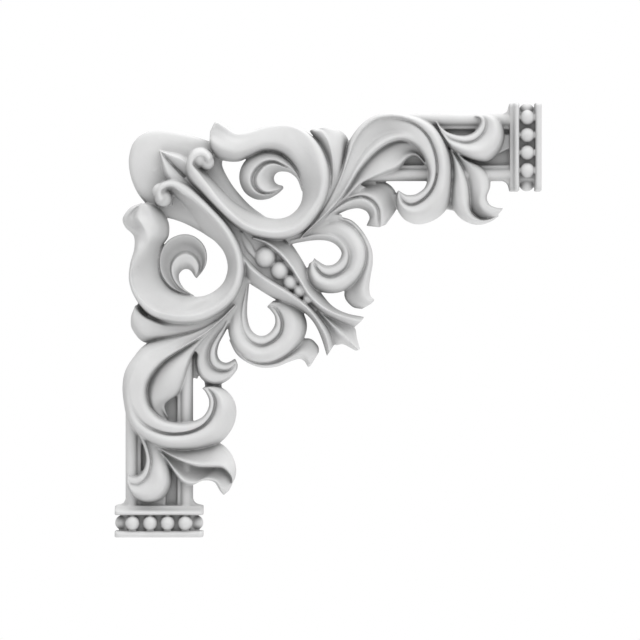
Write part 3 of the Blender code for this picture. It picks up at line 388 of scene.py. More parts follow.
def upper_side(carving):
    """The leaves between the corner and the end of the level arm."""
    carving.leaf("upper_ring", [
        [(210, 131), (216, 121), (224, 124.5), (236, 131.5), (252, 130), (268, 125), (285, 123.5),
         (299, 127.5), (312, 136), (323, 150), (329.5, 167), (330.5, 184), (326, 201), (316, 218),
         (302, 232.5), (284, 239.5), (264, 239), (246, 233.5), (231, 224), (216, 210), (201, 194.5),
         (188, 180), (185, 166), (191, 152), (203, 147.5), (213, 154.5), (214, 166)],
        [(210, 134), (216, 124.5), (224, 128), (236, 135), (252, 133.5), (268, 128.5), (284, 127),
         (297, 131.5), (308, 141), (315.5, 153), (320, 169), (321, 184), (317.5, 198), (309, 211.5),
         (297, 224), (282, 230), (264, 229.5), (248, 224), (235, 214.5), (222, 202), (210, 187), (199, 173),
         (193, 165), (197, 158), (203, 156), (208.5, 160), (211, 168)],
        [(209.5, 143), (213, 154), (223, 160), (238, 161), (250, 156), (263, 150.5), (277, 151.5),
         (288, 159), (296, 171), (301, 184), (302.5, 193), (301, 202), (296, 210), (288, 216), (278, 218.5),
         (268, 217.5), (257, 214), (246, 209), (234, 201), (223, 190), (212, 178), (204, 169.5), (200, 164),
         (199.5, 162), (201.5, 163), (204, 166), (207, 170)],
    ], RING_ACROSS, UPPER_RING_HEIGHTS)
    carving.leaf("upper_ring_plate", [
        [(200, 150), (203, 172), (213, 190), (229, 205), (247, 217), (266, 223)],
        [(222, 158), (222.5, 167), (230, 181.5), (239, 193.5), (251, 206), (266, 217)],
    ], (0, 0.6, 1), {0: (8, 7, 4)})
    carving.leaf("upper_hook", [
        [(303, 192), (301, 180), (295, 167.5), (286, 157.5), (274, 151), (261, 151), (248, 157.5),
         (240.5, 168.5), (239.5, 181), (245, 192.5), (256, 199), (268, 198.5), (277.5, 193.5), (283.5, 188)],
        [(302, 190), (298, 178), (291, 170), (282, 165.5), (273, 162.5), (264, 164.5), (257.5, 170.5),
         (253.5, 178), (254, 185.5), (259, 191.5), (265, 193.5), (272, 192.5), (279, 190.5), (283, 187.5)],
        [(301.5, 190), (297, 178.5), (290, 172.5), (283.5, 171), (278.5, 171.5), (275.5, 173.5), (274, 176),
         (273.8, 178.5), (274.5, 181), (276, 183), (278, 184.3), (280.5, 185), (282.5, 185.5), (283.5, 187)],
    ], HOOK_ACROSS, HOOK_HEIGHTS)
    carving.leaf("upper_sprig_near", [
        [(309.5, 130.5), (312.5, 134.5), (318, 142), (323.5, 152), (328, 164), (329.5, 178), (328, 190),
         (322, 203), (312, 216)],
        [(315, 128.5), (323, 131), (328.5, 139), (332, 149), (334, 161), (335, 175), (333, 188), (327, 203),
         (317, 218)],
    ], (0, 0.5, 1), {
        0: (12, 15, 14), 1: (13, 17, 18), 2: (11, 17, 20), 3: (11, 17, 20.5), 5: (14, 18, 19),
        8: (14, 15, 14),
    })
    carving.leaf("upper_sprig_far", [
        [(318, 128.5), (322, 131.5), (327, 139), (330.5, 149), (332.5, 161), (333.5, 175), (331, 189),
         (324, 204), (314, 216)],
        [(331, 126.5), (342, 131.5), (348, 139), (347.3, 149), (345.3, 161), (342.5, 174), (336.5, 189),
         (328, 204), (317, 217)],
    ], SPRIG_ACROSS, SPRIG_HEIGHTS)
    carving.leaf("upper_scroll", [
        [(303, 234), (316, 219), (325.5, 203), (333.5, 187), (341, 171), (345.6, 155.5), (349.3, 140.5),
         (360, 125.5), (374, 115.5), (390, 112.5), (405, 114.5), (421, 119), (434, 126), (443, 137),
         (449.5, 151), (452.5, 167), (452.5, 184), (450.5, 200), (444, 212.5), (432, 221), (418, 224),
         (406, 220), (398.5, 211), (396, 200), (398, 191)],
        [(301.5, 236.3), (317.5, 220), (329, 205.5), (336.5, 191.5), (342.5, 177), (348, 162), (355, 144),
         (364, 131), (376, 122), (390, 119), (404, 120), (417, 126), (427, 136), (433, 148), (436, 160),
         (436.5, 172), (434.5, 182.5), (430.5, 191), (424.5, 198), (417.5, 203), (411, 205), (405.5, 203.5),
         (401.5, 199.5), (399.5, 195), (398.5, 191)],
        [(300, 238.5), (320, 221), (333, 208), (342, 197), (350, 185), (357, 173.5), (365, 163),
         (374, 153.5), (384, 146), (394, 141.5), (403, 140.5), (411, 143.5), (418, 149), (423.5, 157),
         (427, 166), (428.5, 174), (427.5, 181), (425, 187), (421, 191), (416, 194), (411, 195),
         (406, 194.5), (402, 192.5), (400, 191), (398.5, 190)],
    ], SCROLL_ACROSS, SCROLL_HEIGHTS)
    carving.leaf("upper_inner_leaf", [
        [(326, 212), (342, 196), (350, 184), (360, 168), (373, 152), (388, 142), (402, 139), (417, 145),
         (430, 163)],
        [(328, 213), (347, 198), (361, 184), (373, 178.5), (387, 173.5), (399, 168.5), (408.5, 158.5),
         (417, 156.5), (428, 168)],
    ], BLADE_ACROSS, {
        0: (14, 14, 14, 14, 12), 2: (13, 15, 17, 17, 13), 4: (12, 16, 18, 19, 14), 6: (10, 14, 13, 16, 12),
        8: (9, 9, 8, 12, 11),
    })
    carving.leaf("upper_hook_leaf", [
        [(322, 224), (331, 217.5), (341, 212.5), (350, 209), (359, 208), (366.5, 211), (369.7, 217),
         (368, 222), (366.5, 225.5)],
        [(323, 221), (333, 210), (343, 202), (353, 198), (363, 197), (372, 201.5), (377.5, 209),
         (379, 217.5), (379.5, 227)],
        [(325, 218), (340, 202), (350, 192), (361, 184.5), (374, 181.5), (387, 182.5), (396, 192),
         (397, 207.5), (386, 224.5)],
    ], DROOP_ACROSS, {
        0: (9, 12, 13, 12, 12, 13, 13, 12, 10), 3: (7, 14, 17, 14, 11, 15, 12, 7, 5),
        4: (7, 14, 17, 14, 11, 15, 10, 6, 4), 6: (6, 13, 17, 14, 11, 14, 9, 5, 4),
        8: (7, 10, 12, 12, 12, 14, 14, 11, 7),
    })
    carving.leaf("upper_droop", [
        [(290.5, 244), (302, 241.7), (315, 240), (327, 240.5), (336, 244.5), (341.5, 252), (339.5, 259),
         (334, 264), (327, 265.3), (322, 263.5), (318.5, 261), (316, 259.5), (314.5, 257.5)],
        [(290.5, 240), (304, 236.5), (318, 233), (333, 234.5), (344, 242), (349.5, 253), (348.5, 264.5),
         (342, 272.5), (331, 277), (323, 275), (319, 271), (316, 267), (313, 261)],
        [(291, 234), (303, 229), (320, 221), (336, 219), (355, 229), (365.5, 246), (365.5, 263),
         (357.5, 279.5), (343, 291), (327, 293), (313, 288), (307, 276), (309, 263.5)],
    ], DROOP_ACROSS, DROOP_HEIGHTS)
    carving.leaf("upper_droop_tail", [
        [(336, 221), (347, 226), (356, 237), (360.5, 251), (358, 265), (351, 279), (345, 290), (345.5, 299),
         (353, 307), (362, 309)],
        [(341, 216.5), (353, 221), (364, 233), (371.5, 248), (373, 262), (370.5, 277), (369.3, 289),
         (371, 296.5), (374.5, 299.7), (371, 304)],
    ], TAIL_ACROSS, TAIL_HEIGHTS)
    carving.leaf("upper_curl_leaf", [
        [(436, 122), (445, 130.5), (455, 134.5), (465, 135.3), (473, 132.5), (478, 127), (480, 122),
         (479, 118.5), (476, 117.3), (473, 117.5)],
        [(438, 127), (447, 137.5), (456, 141.5), (466, 143), (475, 140.5), (482, 134.5), (485.5, 127),
         (484.5, 119.5), (480, 115.8), (474, 116)],
        [(443, 137), (451, 149), (462, 155.5), (476, 160.5), (489, 160.5), (500, 150.5), (504.5, 137),
         (502, 124), (493, 116), (479, 113.8)],
    ], DROOP_ACROSS, {
        0: (12, 18, 18, 17, 17, 18, 18, 16, 12), 4: (13, 19, 20, 19, 17, 20, 24, 21, 13),
        7: (13, 18, 19, 18, 17, 19, 21, 18, 12), 9: (10, 12, 13, 13, 13, 13, 14, 13, 11),
    })
    carving.leaf("upper_spur", [
        [(490, 134), (500, 134), (512, 134)],
        [(480, 158), (495, 155), (512, 147.5)],
    ], (0, 0.8, 1), {0: (9, 9, 10)})
    carving.leaf("upper_outer_blade", [
        [(450, 150), (452.5, 163), (452.5, 178), (451, 193), (452.5, 206), (459, 216), (469, 222.5),
         (480, 224.5), (491, 221.5), (499, 216)],
        [(451, 148), (458, 159.5), (464, 171), (468.5, 184), (470, 197), (470.5, 207), (473.5, 214),
         (481, 219), (489.5, 218.5), (498, 214.5)],
    ], BLADE_ACROSS, {
        0: (11, 13, 13, 12, 10), 2: (11, 17, 19, 17, 13), 4: (11, 17, 19, 16, 11), 6: (9, 15, 17, 13, 8),
        9: (8, 9, 10, 10, 8),
    })
    carving.leaf("upper_inner_blade", [
        [(452, 148), (458, 158), (463, 170), (467, 183), (469, 197), (471, 208), (477, 216), (487, 220),
         (496, 217.5)],
        [(454, 148.5), (465, 159), (480, 165.6), (489, 174.6), (490.5, 186), (487, 197), (490, 204.5),
         (497, 207.5), (503.5, 208)],
    ], BLADE_ACROSS, {
        0: (11, 13, 14, 13, 11), 3: (9, 14, 17, 15, 10), 6: (7, 10, 15, 15, 10), 8: (8, 11, 14, 13, 10),
    })


def left_side(carving):
    """The leaves between the corner and the end of the downward arm."""
    carving.leaf("left_ring", [
        [(141, 203), (130, 207.5), (122.5, 218), (125, 227), (133.5, 236), (134, 249), (130, 264),
         (129, 281), (135, 298), (148, 314), (166, 322), (186, 324), (206, 320.5), (224, 310), (237, 296),
         (244, 278), (245, 260), (239, 241), (228, 223.5), (214, 208), (201, 195), (189, 184.5),
         (176, 179.5), (162, 182), (154.5, 192), (156, 204), (165, 208)],
        [(143, 203.5), (133, 209.5), (126, 219), (130, 226), (138, 236), (139, 249), (134, 264), (133, 279),
         (139, 294), (153, 307.5), (169, 312.5), (187, 313.8), (203, 311), (218, 303.5), (230, 291.5),
         (236.5, 276), (236.5, 258), (230, 241.5), (219.5, 226), (206, 212), (194, 201.5), (183, 194),
         (173, 187), (165, 188.5), (161, 193), (163, 199.5), (168, 203)],
        [(146, 203), (155, 205.5), (164, 214), (168.5, 224), (168, 236), (162, 246), (159.5, 260),
         (162, 275), (170, 287), (182, 293.5), (194, 296.5), (205, 295.5), (215, 290.5), (223, 282.5),
         (227, 272), (227, 262), (223, 251), (214.5, 241), (203.5, 233), (195, 222), (186, 209), (178, 200),
         (170, 193), (168, 192.5), (167, 193), (169.5, 196), (171.5, 199.5)],
    ], RING_ACROSS, LEFT_RING_HEIGHTS)
    carving.leaf("left_ring_plate", [
        [(155.5, 195), (174, 196), (192, 208), (207, 222), (218, 238)],
        [(161.5, 216.5), (171, 218.5), (183, 222.5), (197, 229.5), (210, 237.5)],
    ], (0, 0.6, 1), {0: (10, 8, 5)})
    carving.leaf("left_hook", [
        [(194, 296), (182, 293), (170, 286.5), (161.5, 275), (159, 262), (161.5, 249), (169, 239.5),
         (180, 234.5), (191, 235), (200.5, 241), (206, 251), (206, 263), (201.5, 272), (196, 278)],
        [(193.5, 295.5), (183, 290.5), (175.5, 283.5), (171, 275), (170, 266), (173, 258), (179, 252.5),
         (186, 250.5), (192.5, 253), (197.5, 258), (200, 264), (199.5, 270), (198, 274.5), (196, 278)],
        [(193, 295), (185, 289.5), (180.5, 284), (178.5, 278.5), (178.5, 274.5), (180, 272), (182, 270),
         (184.5, 269), (187.5, 269), (190, 270.3), (192, 272.5), (193.5, 275), (195, 277), (196, 278)],
    ], HOOK_ACROSS, CUPPED_HOOK_HEIGHTS)
    carving.leaf("left_sprig_near", [
        [(138.5, 303), (142, 309), (150, 316), (161, 320.5), (175, 323), (190, 322.5), (205, 318),
         (219, 308)],
        [(136, 306), (139.5, 313.5), (147.5, 320.5), (160, 325.5), (175, 329), (190, 329.5), (207, 325.5),
         (222, 316)],
    ], (0, 0.5, 1), {
        0: (10, 14, 15), 1: (6, 10, 18), 2: (8, 12, 19), 3: (14, 16, 19), 4: (17, 18, 18), 7: (14, 15, 14),
    })
    carving.leaf("left_sprig_far", [
        [(136, 305), (138.5, 310), (143.5, 315.5), (151, 319.5), (162, 323.5), (176, 326.5), (191, 327),
         (206, 323), (219, 315)],
        [(134, 307.5), (130.5, 318), (132, 329.5), (143, 342), (158, 341), (173, 338.5), (189, 333.5),
         (206, 327), (220, 317.5)],
    ], SPRIG_ACROSS, SPRIG_HEIGHTS)
    carving.leaf("left_scroll", [
        [(234, 304), (221, 317), (206, 325), (192, 331), (178, 334.5), (163, 338), (145, 344.5),
         (133, 357.5), (125, 371), (122.3, 386), (123.5, 402), (127, 418), (135, 431.5), (147, 441.5),
         (162, 448.5), (178, 451), (194, 450.5), (208, 447.5), (221, 442), (231.5, 429.5), (236, 415),
         (234, 401), (225, 390), (214, 386), (203, 387.5)],
        [(235, 305), (221.5, 318), (207.5, 329), (194, 336), (180, 342), (165, 347.5), (150, 354),
         (139, 364), (132, 376), (129, 389), (130.5, 402), (135.5, 414), (143, 423), (154, 429.5),
         (166, 433), (178, 433.5), (190, 431.5), (200.5, 427), (208.5, 420), (213.5, 411), (215, 402),
         (213, 395), (209.5, 390.5), (206.5, 388.5), (203, 388)],
        [(236, 306), (223, 319.5), (209, 331.5), (197, 339.5), (185, 347), (173, 354.5), (162, 363),
         (153, 373.5), (147.5, 385), (147, 396), (150, 406.5), (156.5, 414.5), (164, 419.5), (173, 422),
         (182, 422.8), (190, 422), (197, 420), (203, 416.5), (207, 411), (209, 405), (208.8, 399.5),
         (207, 395), (205, 391.5), (203, 389.5), (202, 388.5)],
    ], SCROLL_ACROSS, {
        **SCROLL_HEIGHTS, 4: (9, 17, 20, 20, 20, 20, 21, 23, 19), 6: (9, 16, 20, 22, 22, 23, 23, 23, 18),
        8: (11, 17, 21, 23, 24, 24, 25, 24, 18), 10: (11, 18, 23, 24, 24, 25, 25, 23, 17),
        12: (12, 22, 25, 24, 22, 24, 25, 23, 16),
    })
    carving.leaf("left_inner_leaf", [
        [(228, 312), (210, 328), (192, 341), (173, 353), (157, 367), (147, 383), (145, 398), (152, 412),
         (166, 421)],
        [(230, 314), (215, 329), (203, 341.5), (194, 353), (189.5, 365), (184.5, 381), (178, 394),
         (165.5, 404.5), (168, 418)],
    ], BLADE_ACROSS, {
        0: (14, 14, 14, 14, 12), 2: (12, 14, 16, 15, 12), 4: (11, 17, 20, 19, 13), 6: (10, 17, 17, 15, 12),
        8: (9, 10, 9, 12, 11),
    })
    carving.leaf("left_hook_leaf", [
        [(232, 312), (230, 322), (224.5, 333), (219, 343.5), (217, 353), (219.5, 360), (225, 362.8),
         (230, 361.5), (234, 359), (235, 359)],
        [(229, 313), (224, 325), (216.5, 336), (210.5, 347), (209, 358), (213, 367), (221, 370.5),
         (229, 370), (235, 365), (236, 361)],
        [(227, 312), (214, 327), (203, 340), (196.5, 354), (196, 367), (201, 378.5), (212, 385.5),
         (226, 381.5), (236, 371), (237.5, 365)],
    ], DROOP_ACROSS, {
        0: (9, 12, 13, 12, 12, 13, 13, 12, 10), 4: (8, 17, 17, 15, 11, 12, 14, 14, 8),
        6: (8, 15, 16, 14, 11, 13, 15, 15, 8), 9: (8, 12, 13, 13, 13, 14, 14, 13, 8),
    })
    carving.leaf("left_droop", [
        [(249, 283), (248, 294), (247, 306), (247.3, 318), (250.5, 329), (257, 335), (264.5, 335.5),
         (271, 331), (275, 323.5), (274.5, 316), (272, 312), (269.5, 309), (267.7, 307.7), (267, 307)],
        [(247, 285), (244, 297), (241.5, 309), (241, 321), (243.5, 332), (250, 341.5), (261, 346),
         (272, 342), (280, 334), (282, 324), (280, 316), (276, 309), (271.5, 305.5), (268, 305.5)],
        [(239, 283), (235, 295), (230, 307), (228, 322), (229.5, 337), (237, 351), (252, 361.5), (270, 363),
         (288, 355), (302, 341.5), (307, 326), (302, 311), (289, 301.8), (273.5, 300.5)],
    ], DROOP_ACROSS, DROOP_HEIGHTS)
    carving.leaf("left_droop_tail", [
        [(233, 337), (241, 349), (252, 357), (264, 359), (278, 356), (291, 348.5), (302, 339.5), (311, 339),
         (318, 346), (319, 352)],
        [(229, 340), (236, 353.5), (247, 362.5), (261, 367.7), (276, 367), (289, 362), (299, 359),
         (304.5, 361.5), (308.5, 367.3), (312, 363.5)],
    ], TAIL_ACROSS, TAIL_HEIGHTS)
    carving.leaf("left_curl_leaf", [
        [(134, 430), (139.5, 437.5), (143.5, 447), (145.7, 457), (144.5, 466.5), (140.5, 473.5),
         (134.5, 476.3), (130, 475), (129, 472.5)],
        [(139, 428), (144.5, 437), (148.5, 447.5), (151, 459), (150, 469.5), (146, 478.5), (138, 484.3),
         (130.5, 483.5), (127.5, 476.5)],
        [(152, 430), (160, 443), (166, 456), (170.5, 470), (170.5, 485), (163, 498), (149, 503),
         (135, 498.5), (127.5, 486.5)],
    ], DROOP_ACROSS, {
        0: (11, 16, 16, 15, 14, 13, 12, 11, 9), 2: (12, 18, 18, 16, 14, 15, 16, 14, 10),
        4: (13, 19, 20, 19, 17, 20, 24, 21, 13), 8: (11, 13, 14, 14, 14, 15, 16, 14, 11),
    })
    carving.leaf("left_spur", [
        [(141, 488), (141, 498), (141, 510)],
        [(165, 480), (166, 495), (165, 510)],
    ], (0, 0.8, 1), {0: (9, 9, 10)})
    carving.leaf("left_outer_blade", [
        [(150, 441), (165, 446), (180, 449), (195, 448.5), (208, 446), (220, 444), (230, 453), (235.5, 466),
         (235, 478), (229.5, 488)],
        [(150, 443), (160, 449.5), (172, 456.5), (185, 462.5), (198, 466.5), (211, 467), (222, 467.5),
         (229.5, 474), (232, 481), (229, 487)],
    ], BLADE_ACROSS, {
        0: (11, 13, 13, 12, 10), 3: (10, 14, 18, 22, 20), 6: (9, 14, 18, 21, 18), 9: (8, 9, 10, 10, 8),
    })
    carving.leaf("left_inner_blade", [
        [(150, 441), (160, 447.5), (172, 454.5), (185, 460.5), (198, 464.5), (211, 465), (222.5, 466),
         (231, 474), (232.5, 483), (229, 490.5)],
        [(150, 444), (160, 452), (167, 461), (173.5, 471.5), (182, 482), (192, 485), (203, 480.5),
         (214, 482), (220, 491), (223.5, 495.5)],
    ], BLADE_ACROSS, {
        0: (10, 11, 12, 12, 11), 2: (10, 11, 13, 17, 15), 4: (9, 10.5, 14, 20, 17), 6: (8, 11, 15, 20, 16),
        9: (9, 12, 13, 12, 9),
    })


def centre(carving):
    """The corner lobe, the bud on it, and the beaded bar that runs down between the two rings."""
    carving.leaf("corner_lobe", [
        [(150, 208), (138, 194), (130.5, 177), (128.3, 159), (133, 142), (146, 131.5), (164, 129.5),
         (182, 132.5), (198, 137), (212, 142)],
        [(172, 206), (174, 196), (176, 186), (178, 180), (181, 177), (184, 174), (187, 171), (193, 167),
         (201, 163), (210, 158)],
    ], (0, 0.1, 0.35, 1), {0: (5, 8, 10, 12)})
    carving.leaf("bud", [
        [(160, 150.5), (167, 152), (175, 153.5), (183, 156), (191, 161), (200, 170)],
        [(161, 152), (168.5, 160.5), (176, 168.5), (184, 176), (190, 182), (198, 190)],
        [(159.5, 151.5), (160.5, 158), (162, 166), (164.5, 175), (170, 184), (180, 192)],
    ], (0, 0.25, 0.85, 1, 1.15, 1.75, 2), {
        0: (13, 18, 16, 13, 16, 18, 13), 3: (15, 21, 17, 13, 18, 21, 16),
    })
    carving.leaf("upper_strand", [
        [(252, 240), (264, 244.5), (277, 254.5), (288, 267), (297, 281), (304.5, 294.5), (313, 305),
         (324, 313.5), (338, 320.5), (354, 327.5)],
        [(253, 238), (266, 242.5), (280, 253), (291, 266), (300, 280), (308, 293), (317, 302.5),
         (329, 310.5), (343, 316), (361, 321.5)],
        [(258, 233), (275, 236), (290, 243), (298.5, 254), (306, 267), (312, 281), (320.5, 292),
         (332, 305.5), (346, 313), (364.5, 317)],
    ], (0, 0.5, 1, 1.3, 1.7, 2), {
        0: (15, 19, 22, 18, 15, 12), 3: (17, 22, 25, 18, 13, 9), 5: (18, 23, 26, 19, 13, 9),
        9: (10, 14, 16, 14, 11, 9),
    })
    carving.leaf("lower_strand", [
        [(244, 254), (252, 263), (262, 273), (275, 281.5), (288, 289.5), (300, 298), (311, 307), (321, 319),
         (329.5, 332), (334, 345)],
        [(243, 258), (250, 268), (261, 277), (273, 285), (286, 292.5), (298, 300.5), (309, 310), (318, 322),
         (325.5, 336), (329.5, 352)],
        [(243, 270), (248.5, 282), (259, 289.5), (272, 297.5), (285, 304), (297, 309), (307, 315),
         (315.5, 325.5), (322, 340), (327, 356.5)],
    ], (0, 0.5, 1, 1.3, 1.7, 2), {
        0: (16, 20, 22, 19, 15, 10), 5: (18, 23, 25, 22, 16, 10), 9: (10, 14, 16, 14, 12, 9),
    })
    carving.leaf("bar_floor", [
        [(243, 232), (263, 240), (287, 260), (304, 286), (321, 307)],
        [(238, 240), (249, 263), (275, 286), (297, 301), (313, 313)],
    ], (0, 0.5, 1), {0: (16.5, 16.5, 16.5), 2: (15.5, 15.5, 15.5), 4: (14, 14, 14)})
    carving.leaf("bar_fin", [
        [(238, 231), (241.5, 244), (246, 252), (253.5, 259)],
        [(243.5, 233), (250, 241), (254, 247.5), (257, 255.5)],
    ], (0, 0.35, 1), {0: (15, 17, 17), 3: (15, 18.5, 18)})
    carving.leaf("tail_leaf", [
        [(312, 303), (325, 313), (339, 320), (354, 327), (357, 338), (360, 349)],
        [(312, 304), (323, 315), (333, 325.5), (342, 334.5), (350, 342), (358.5, 350)],
        [(311, 305), (320, 318), (328, 331), (334.5, 344.5), (343.5, 344.5), (356, 351)],
    ], (0, 0.5, 1, 1.5, 2), {0: (12, 13, 14, 13, 12), 3: (8, 10, 15, 10, 8), 5: (9, 10, 12, 10, 9)})
    for number, (square, radius) in enumerate(BAR_BEADS, 1):
        height = BAR_BEAD_TOP - BAR_BEAD_SINK * radius
        carving.bead(f"bar_bead_{number}", on_wall(square), height * STEP_UP, radius * SQUARE)


def knobs(carving):
    """The round ends that the two ring scrolls curl into."""
    for name, (square, radius, height) in KNOBS.items():
        carving.bead(name, on_wall(square), height * STEP_UP, radius * SQUARE)


WEBS = {
    "between_rings": (11, [(152, 172), (172, 192), (195, 212), (218, 234), (238, 258)],
        [(172, 158), (196, 184), (222, 210), (245, 232), (264, 246)]),
    "above_level_root": (10,
        [(313, 148), (319, 158), (322, 172), (322, 187), (317, 201), (308, 216), (292, 234)],
        [(330, 137), (340, 148), (342, 162), (339, 180), (332, 202), (321, 220), (301, 241)]),
    "beside_down_root": (11.5,
        [(150, 312), (159, 316), (171, 318), (188, 317), (206, 312), (222, 303), (238, 292)],
        [(141, 328), (152, 339), (170, 342), (190, 337), (209, 328), (224, 315), (246, 297)]),
    "level_root": (ROOT_WEB, [(305, 232), (322, 212), (338, 196), (353, 180.6)],
        [(312, 236), (328, 220), (345, 205), (366, 187.3)]),
    "down_root": (ROOT_WEB, [(232, 306), (216, 320), (203, 335), (195, 350)],
        [(236, 310), (222, 326), (209, 344), (199, 356)]),
    "down_root_floor": (LOW_WEB, [(205, 335), (196, 350), (188, 376)], [(212, 342), (204, 358), (197, 379)]),
    "level_hook_joint": (LOW_WEB, [(392, 194), (392, 207)], [(402, 195), (401, 209)]),
    "down_hook_joint": (LOW_WEB, [(204, 381), (221, 382)], [(206, 393), (222, 392)]),
    "upper_droop_root": (ROOT_WEB, [(280, 234), (296, 234), (312, 228), (326, 220)],
        [(289.5, 244.5), (299, 242), (317, 238), (334, 226)]),
    "lower_droop_root": (ROOT_WEB, [(236, 268), (233, 286), (229, 303), (222, 318)],
        [(251, 281.5), (247, 287), (244, 306), (234, 326)]),
    "level_hook_root": (12, [(324, 217), (333, 214), (341.5, 214.5)],
        [(327, 228), (335, 222), (342.5, 219)]),
    "ring_valley": (16, [(181, 181), (192, 190), (206, 203), (222, 220), (237, 240)],
        [(189, 175), (200, 187), (214, 201), (229, 216), (245, 237)]),
    "level_root_fill": (14, [(309, 224), (314, 217), (319, 208)], [(312, 228), (318, 221), (324, 211)]),
    "down_root_fill": (14, [(214, 314), (221, 307), (227, 300)], [(217, 321), (224, 314), (230, 306)]),
    "level_rail_joint": (LOW_WEB, [(360, 178), (376, 178)], [(360, 187), (376, 186)]),
    "level_blade_joint": (LOW_WEB, [(445, 196), (447, 209)], [(455, 196), (457, 211)]),
    "bar_joint": (LOW_WEB, [(303, 268), (306, 282)], [(313, 267), (314, 284)]),
    "level_blades": (LOW_WEB, [(452, 160), (457, 185), (461, 205), (470, 218)],
        [(472, 160), (480, 180), (478, 200), (482, 216)]),
    "down_blades": (LOW_WEB, [(160, 447), (185, 457), (205, 462), (222, 462)],
        [(165, 458), (185, 475), (205, 478), (224, 482)]),
}


def ground(carving):
    """The low web behind the leaves that joins them where they only touch or overlap."""
    for number, (name, (height, *rails)) in enumerate(WEBS.items()):
        height = height + number / WEBS_PER_STEP
        carving.leaf(name, rails, (0, 1), {0: (height, height)})


def rail_profile(inner_edge, outer_edge):
    """A round-topped rail between two sideways places, from its inner to its outer foot."""
    middle = (inner_edge + outer_edge) / 2
    half = (outer_edge - inner_edge) / 2
    shoulder = RAIL_SHOULDER * RAIL_HEIGHT
    angles = np.radians(np.linspace(180, 0, RAIL_FACETS))
    return [(middle + half * np.cos(angle), shoulder + np.sin(angle) * (RAIL_HEIGHT - shoulder))
            for angle in angles]


def arm(carving, name, rail_starts, reach, axis, outward, bead_shift=0):
    """One length of moulding with its collar. Outward points from its centre line to the frame's outside."""
    half = MOULDING_WIDTH / 2
    collar_start = reach - COLLAR_LENGTH
    overlap = COLLAR_RING_LENGTH / 2
    end = collar_start + overlap
    fillet = half - RAIL_WIDTH - FILLET_WIDTH
    inside = half - RAIL_WIDTH / 2
    for side, start in zip((1, -1), rail_starts):
        across = side * np.array(outward)
        rail = f"{name}_{'outer' if side > 0 else 'inner'}"
        carving.bar(f"{rail}_rail", rail_profile(half - RAIL_WIDTH, half), start, end, axis, across)
        step = [(fillet, FILLET_FOOT * FILLET_HEIGHT),
                (fillet + FILLET_SHOULDER * FILLET_WIDTH, FILLET_HEIGHT), (inside, FILLET_HEIGHT)]
        carving.bar(f"{rail}_fillet", step, start, end - overlap / 4, axis, across)
        curve = [(collar_start - back * GUSSET_LENGTH, half + out * GUSSET_WIDTH)
                 for back, out in GUSSET_CURVE]
        gusset = [(collar_start - GUSSET_LENGTH, inside), *curve, (end, half + GUSSET_WIDTH), (end, inside)]
        carving.slab(f"{rail}_gusset", gusset, GUSSET_RISE * RAIL_HEIGHT, axis, across)
    channel = [(-inside, CHANNEL_HEIGHT), (inside, CHANNEL_HEIGHT)]
    carving.bar(f"{name}_channel", channel, sum(rail_starts) / 2, end, axis, outward)
    collar(carving, name, collar_start, reach, axis, outward, bead_shift)


def collar(carving, name, start, reach, axis, outward, bead_shift):
    """Two raised rings with a row of beads between them, on the front and round both sides."""
    half = COLLAR_WIDTH / 2
    corner = COLLAR_CORNER * COLLAR_HEIGHT
    curve = CORNER_CURVE * corner
    for ring, foot, length, profile in (("ring", start, COLLAR_RING_LENGTH, COVE_AND_TORUS),
                                        ("end", reach - COLLAR_END_LENGTH, COLLAR_END_LENGTH, FLAT_TORUS)):
        section = [(foot + share * length, rise * COLLAR_HEIGHT) for share, rise in profile]
        carving.block(f"{name}_collar_{ring}", [
            [(*(along * np.array(axis) + sideways * np.array(outward))[::2], height - drop)
             for along, height in section]
            for sideways, drop in ((-half, corner), (-half + curve, curve), (-half + corner, 0),
                                   (half - corner, 0), (half - curve, curve), (half, corner))
        ])
    neck_half = half - BEAD_RADIUS
    neck_height = COLLAR_HEIGHT - NECK_DROP * BEAD_RADIUS
    neck = [(-neck_half, neck_height - corner), (-neck_half + corner, neck_height),
            (neck_half - corner, neck_height), (neck_half, neck_height - corner)]
    overlap = COLLAR_END_LENGTH / 3
    neck_start = start + COLLAR_RING_LENGTH - overlap
    neck_end = reach - COLLAR_END_LENGTH + overlap
    carving.bar(f"{name}_collar_neck", neck, neck_start, neck_end, axis, outward)
    row = (neck_start + neck_end) / 2
    half_row = BEAD_SPACING * (BEADS_IN_A_COLLAR - 1) / 2
    places = [(bead_shift - half_row + k * BEAD_SPACING, neck_height + BEAD_SEAT * BEAD_RADIUS)
              for k in range(BEADS_IN_A_COLLAR)]
    places += [(side * neck_half, neck_height / 2) for side in (-1, 1)]
    for number, (sideways, height) in enumerate(places, 1):
        place = row * np.array(axis) + sideways * np.array(outward)
        carving.bead(f"{name}_collar_bead_{number}", (place[0], place[2]), height, BEAD_RADIUS)


def arms(carving):
    """Both arms. Each rail starts where the scroll over it hides its end."""
    level_starts = [(square - ORIGIN_ACROSS) * SQUARE for square in LEVEL_RAIL_STARTS]
    down_starts = [(square - ORIGIN_DOWN) * SQUARE for square in DOWN_RAIL_STARTS]
    arm(carving, "level", level_starts, LEVEL_ARM_REACH, (1, 0, 0), (0, 0, 1), LEVEL_BEAD_SHIFT)
    arm(carving, "down", down_starts, DOWN_ARM_REACH, (0, 0, -1), (-1, 0, 0))


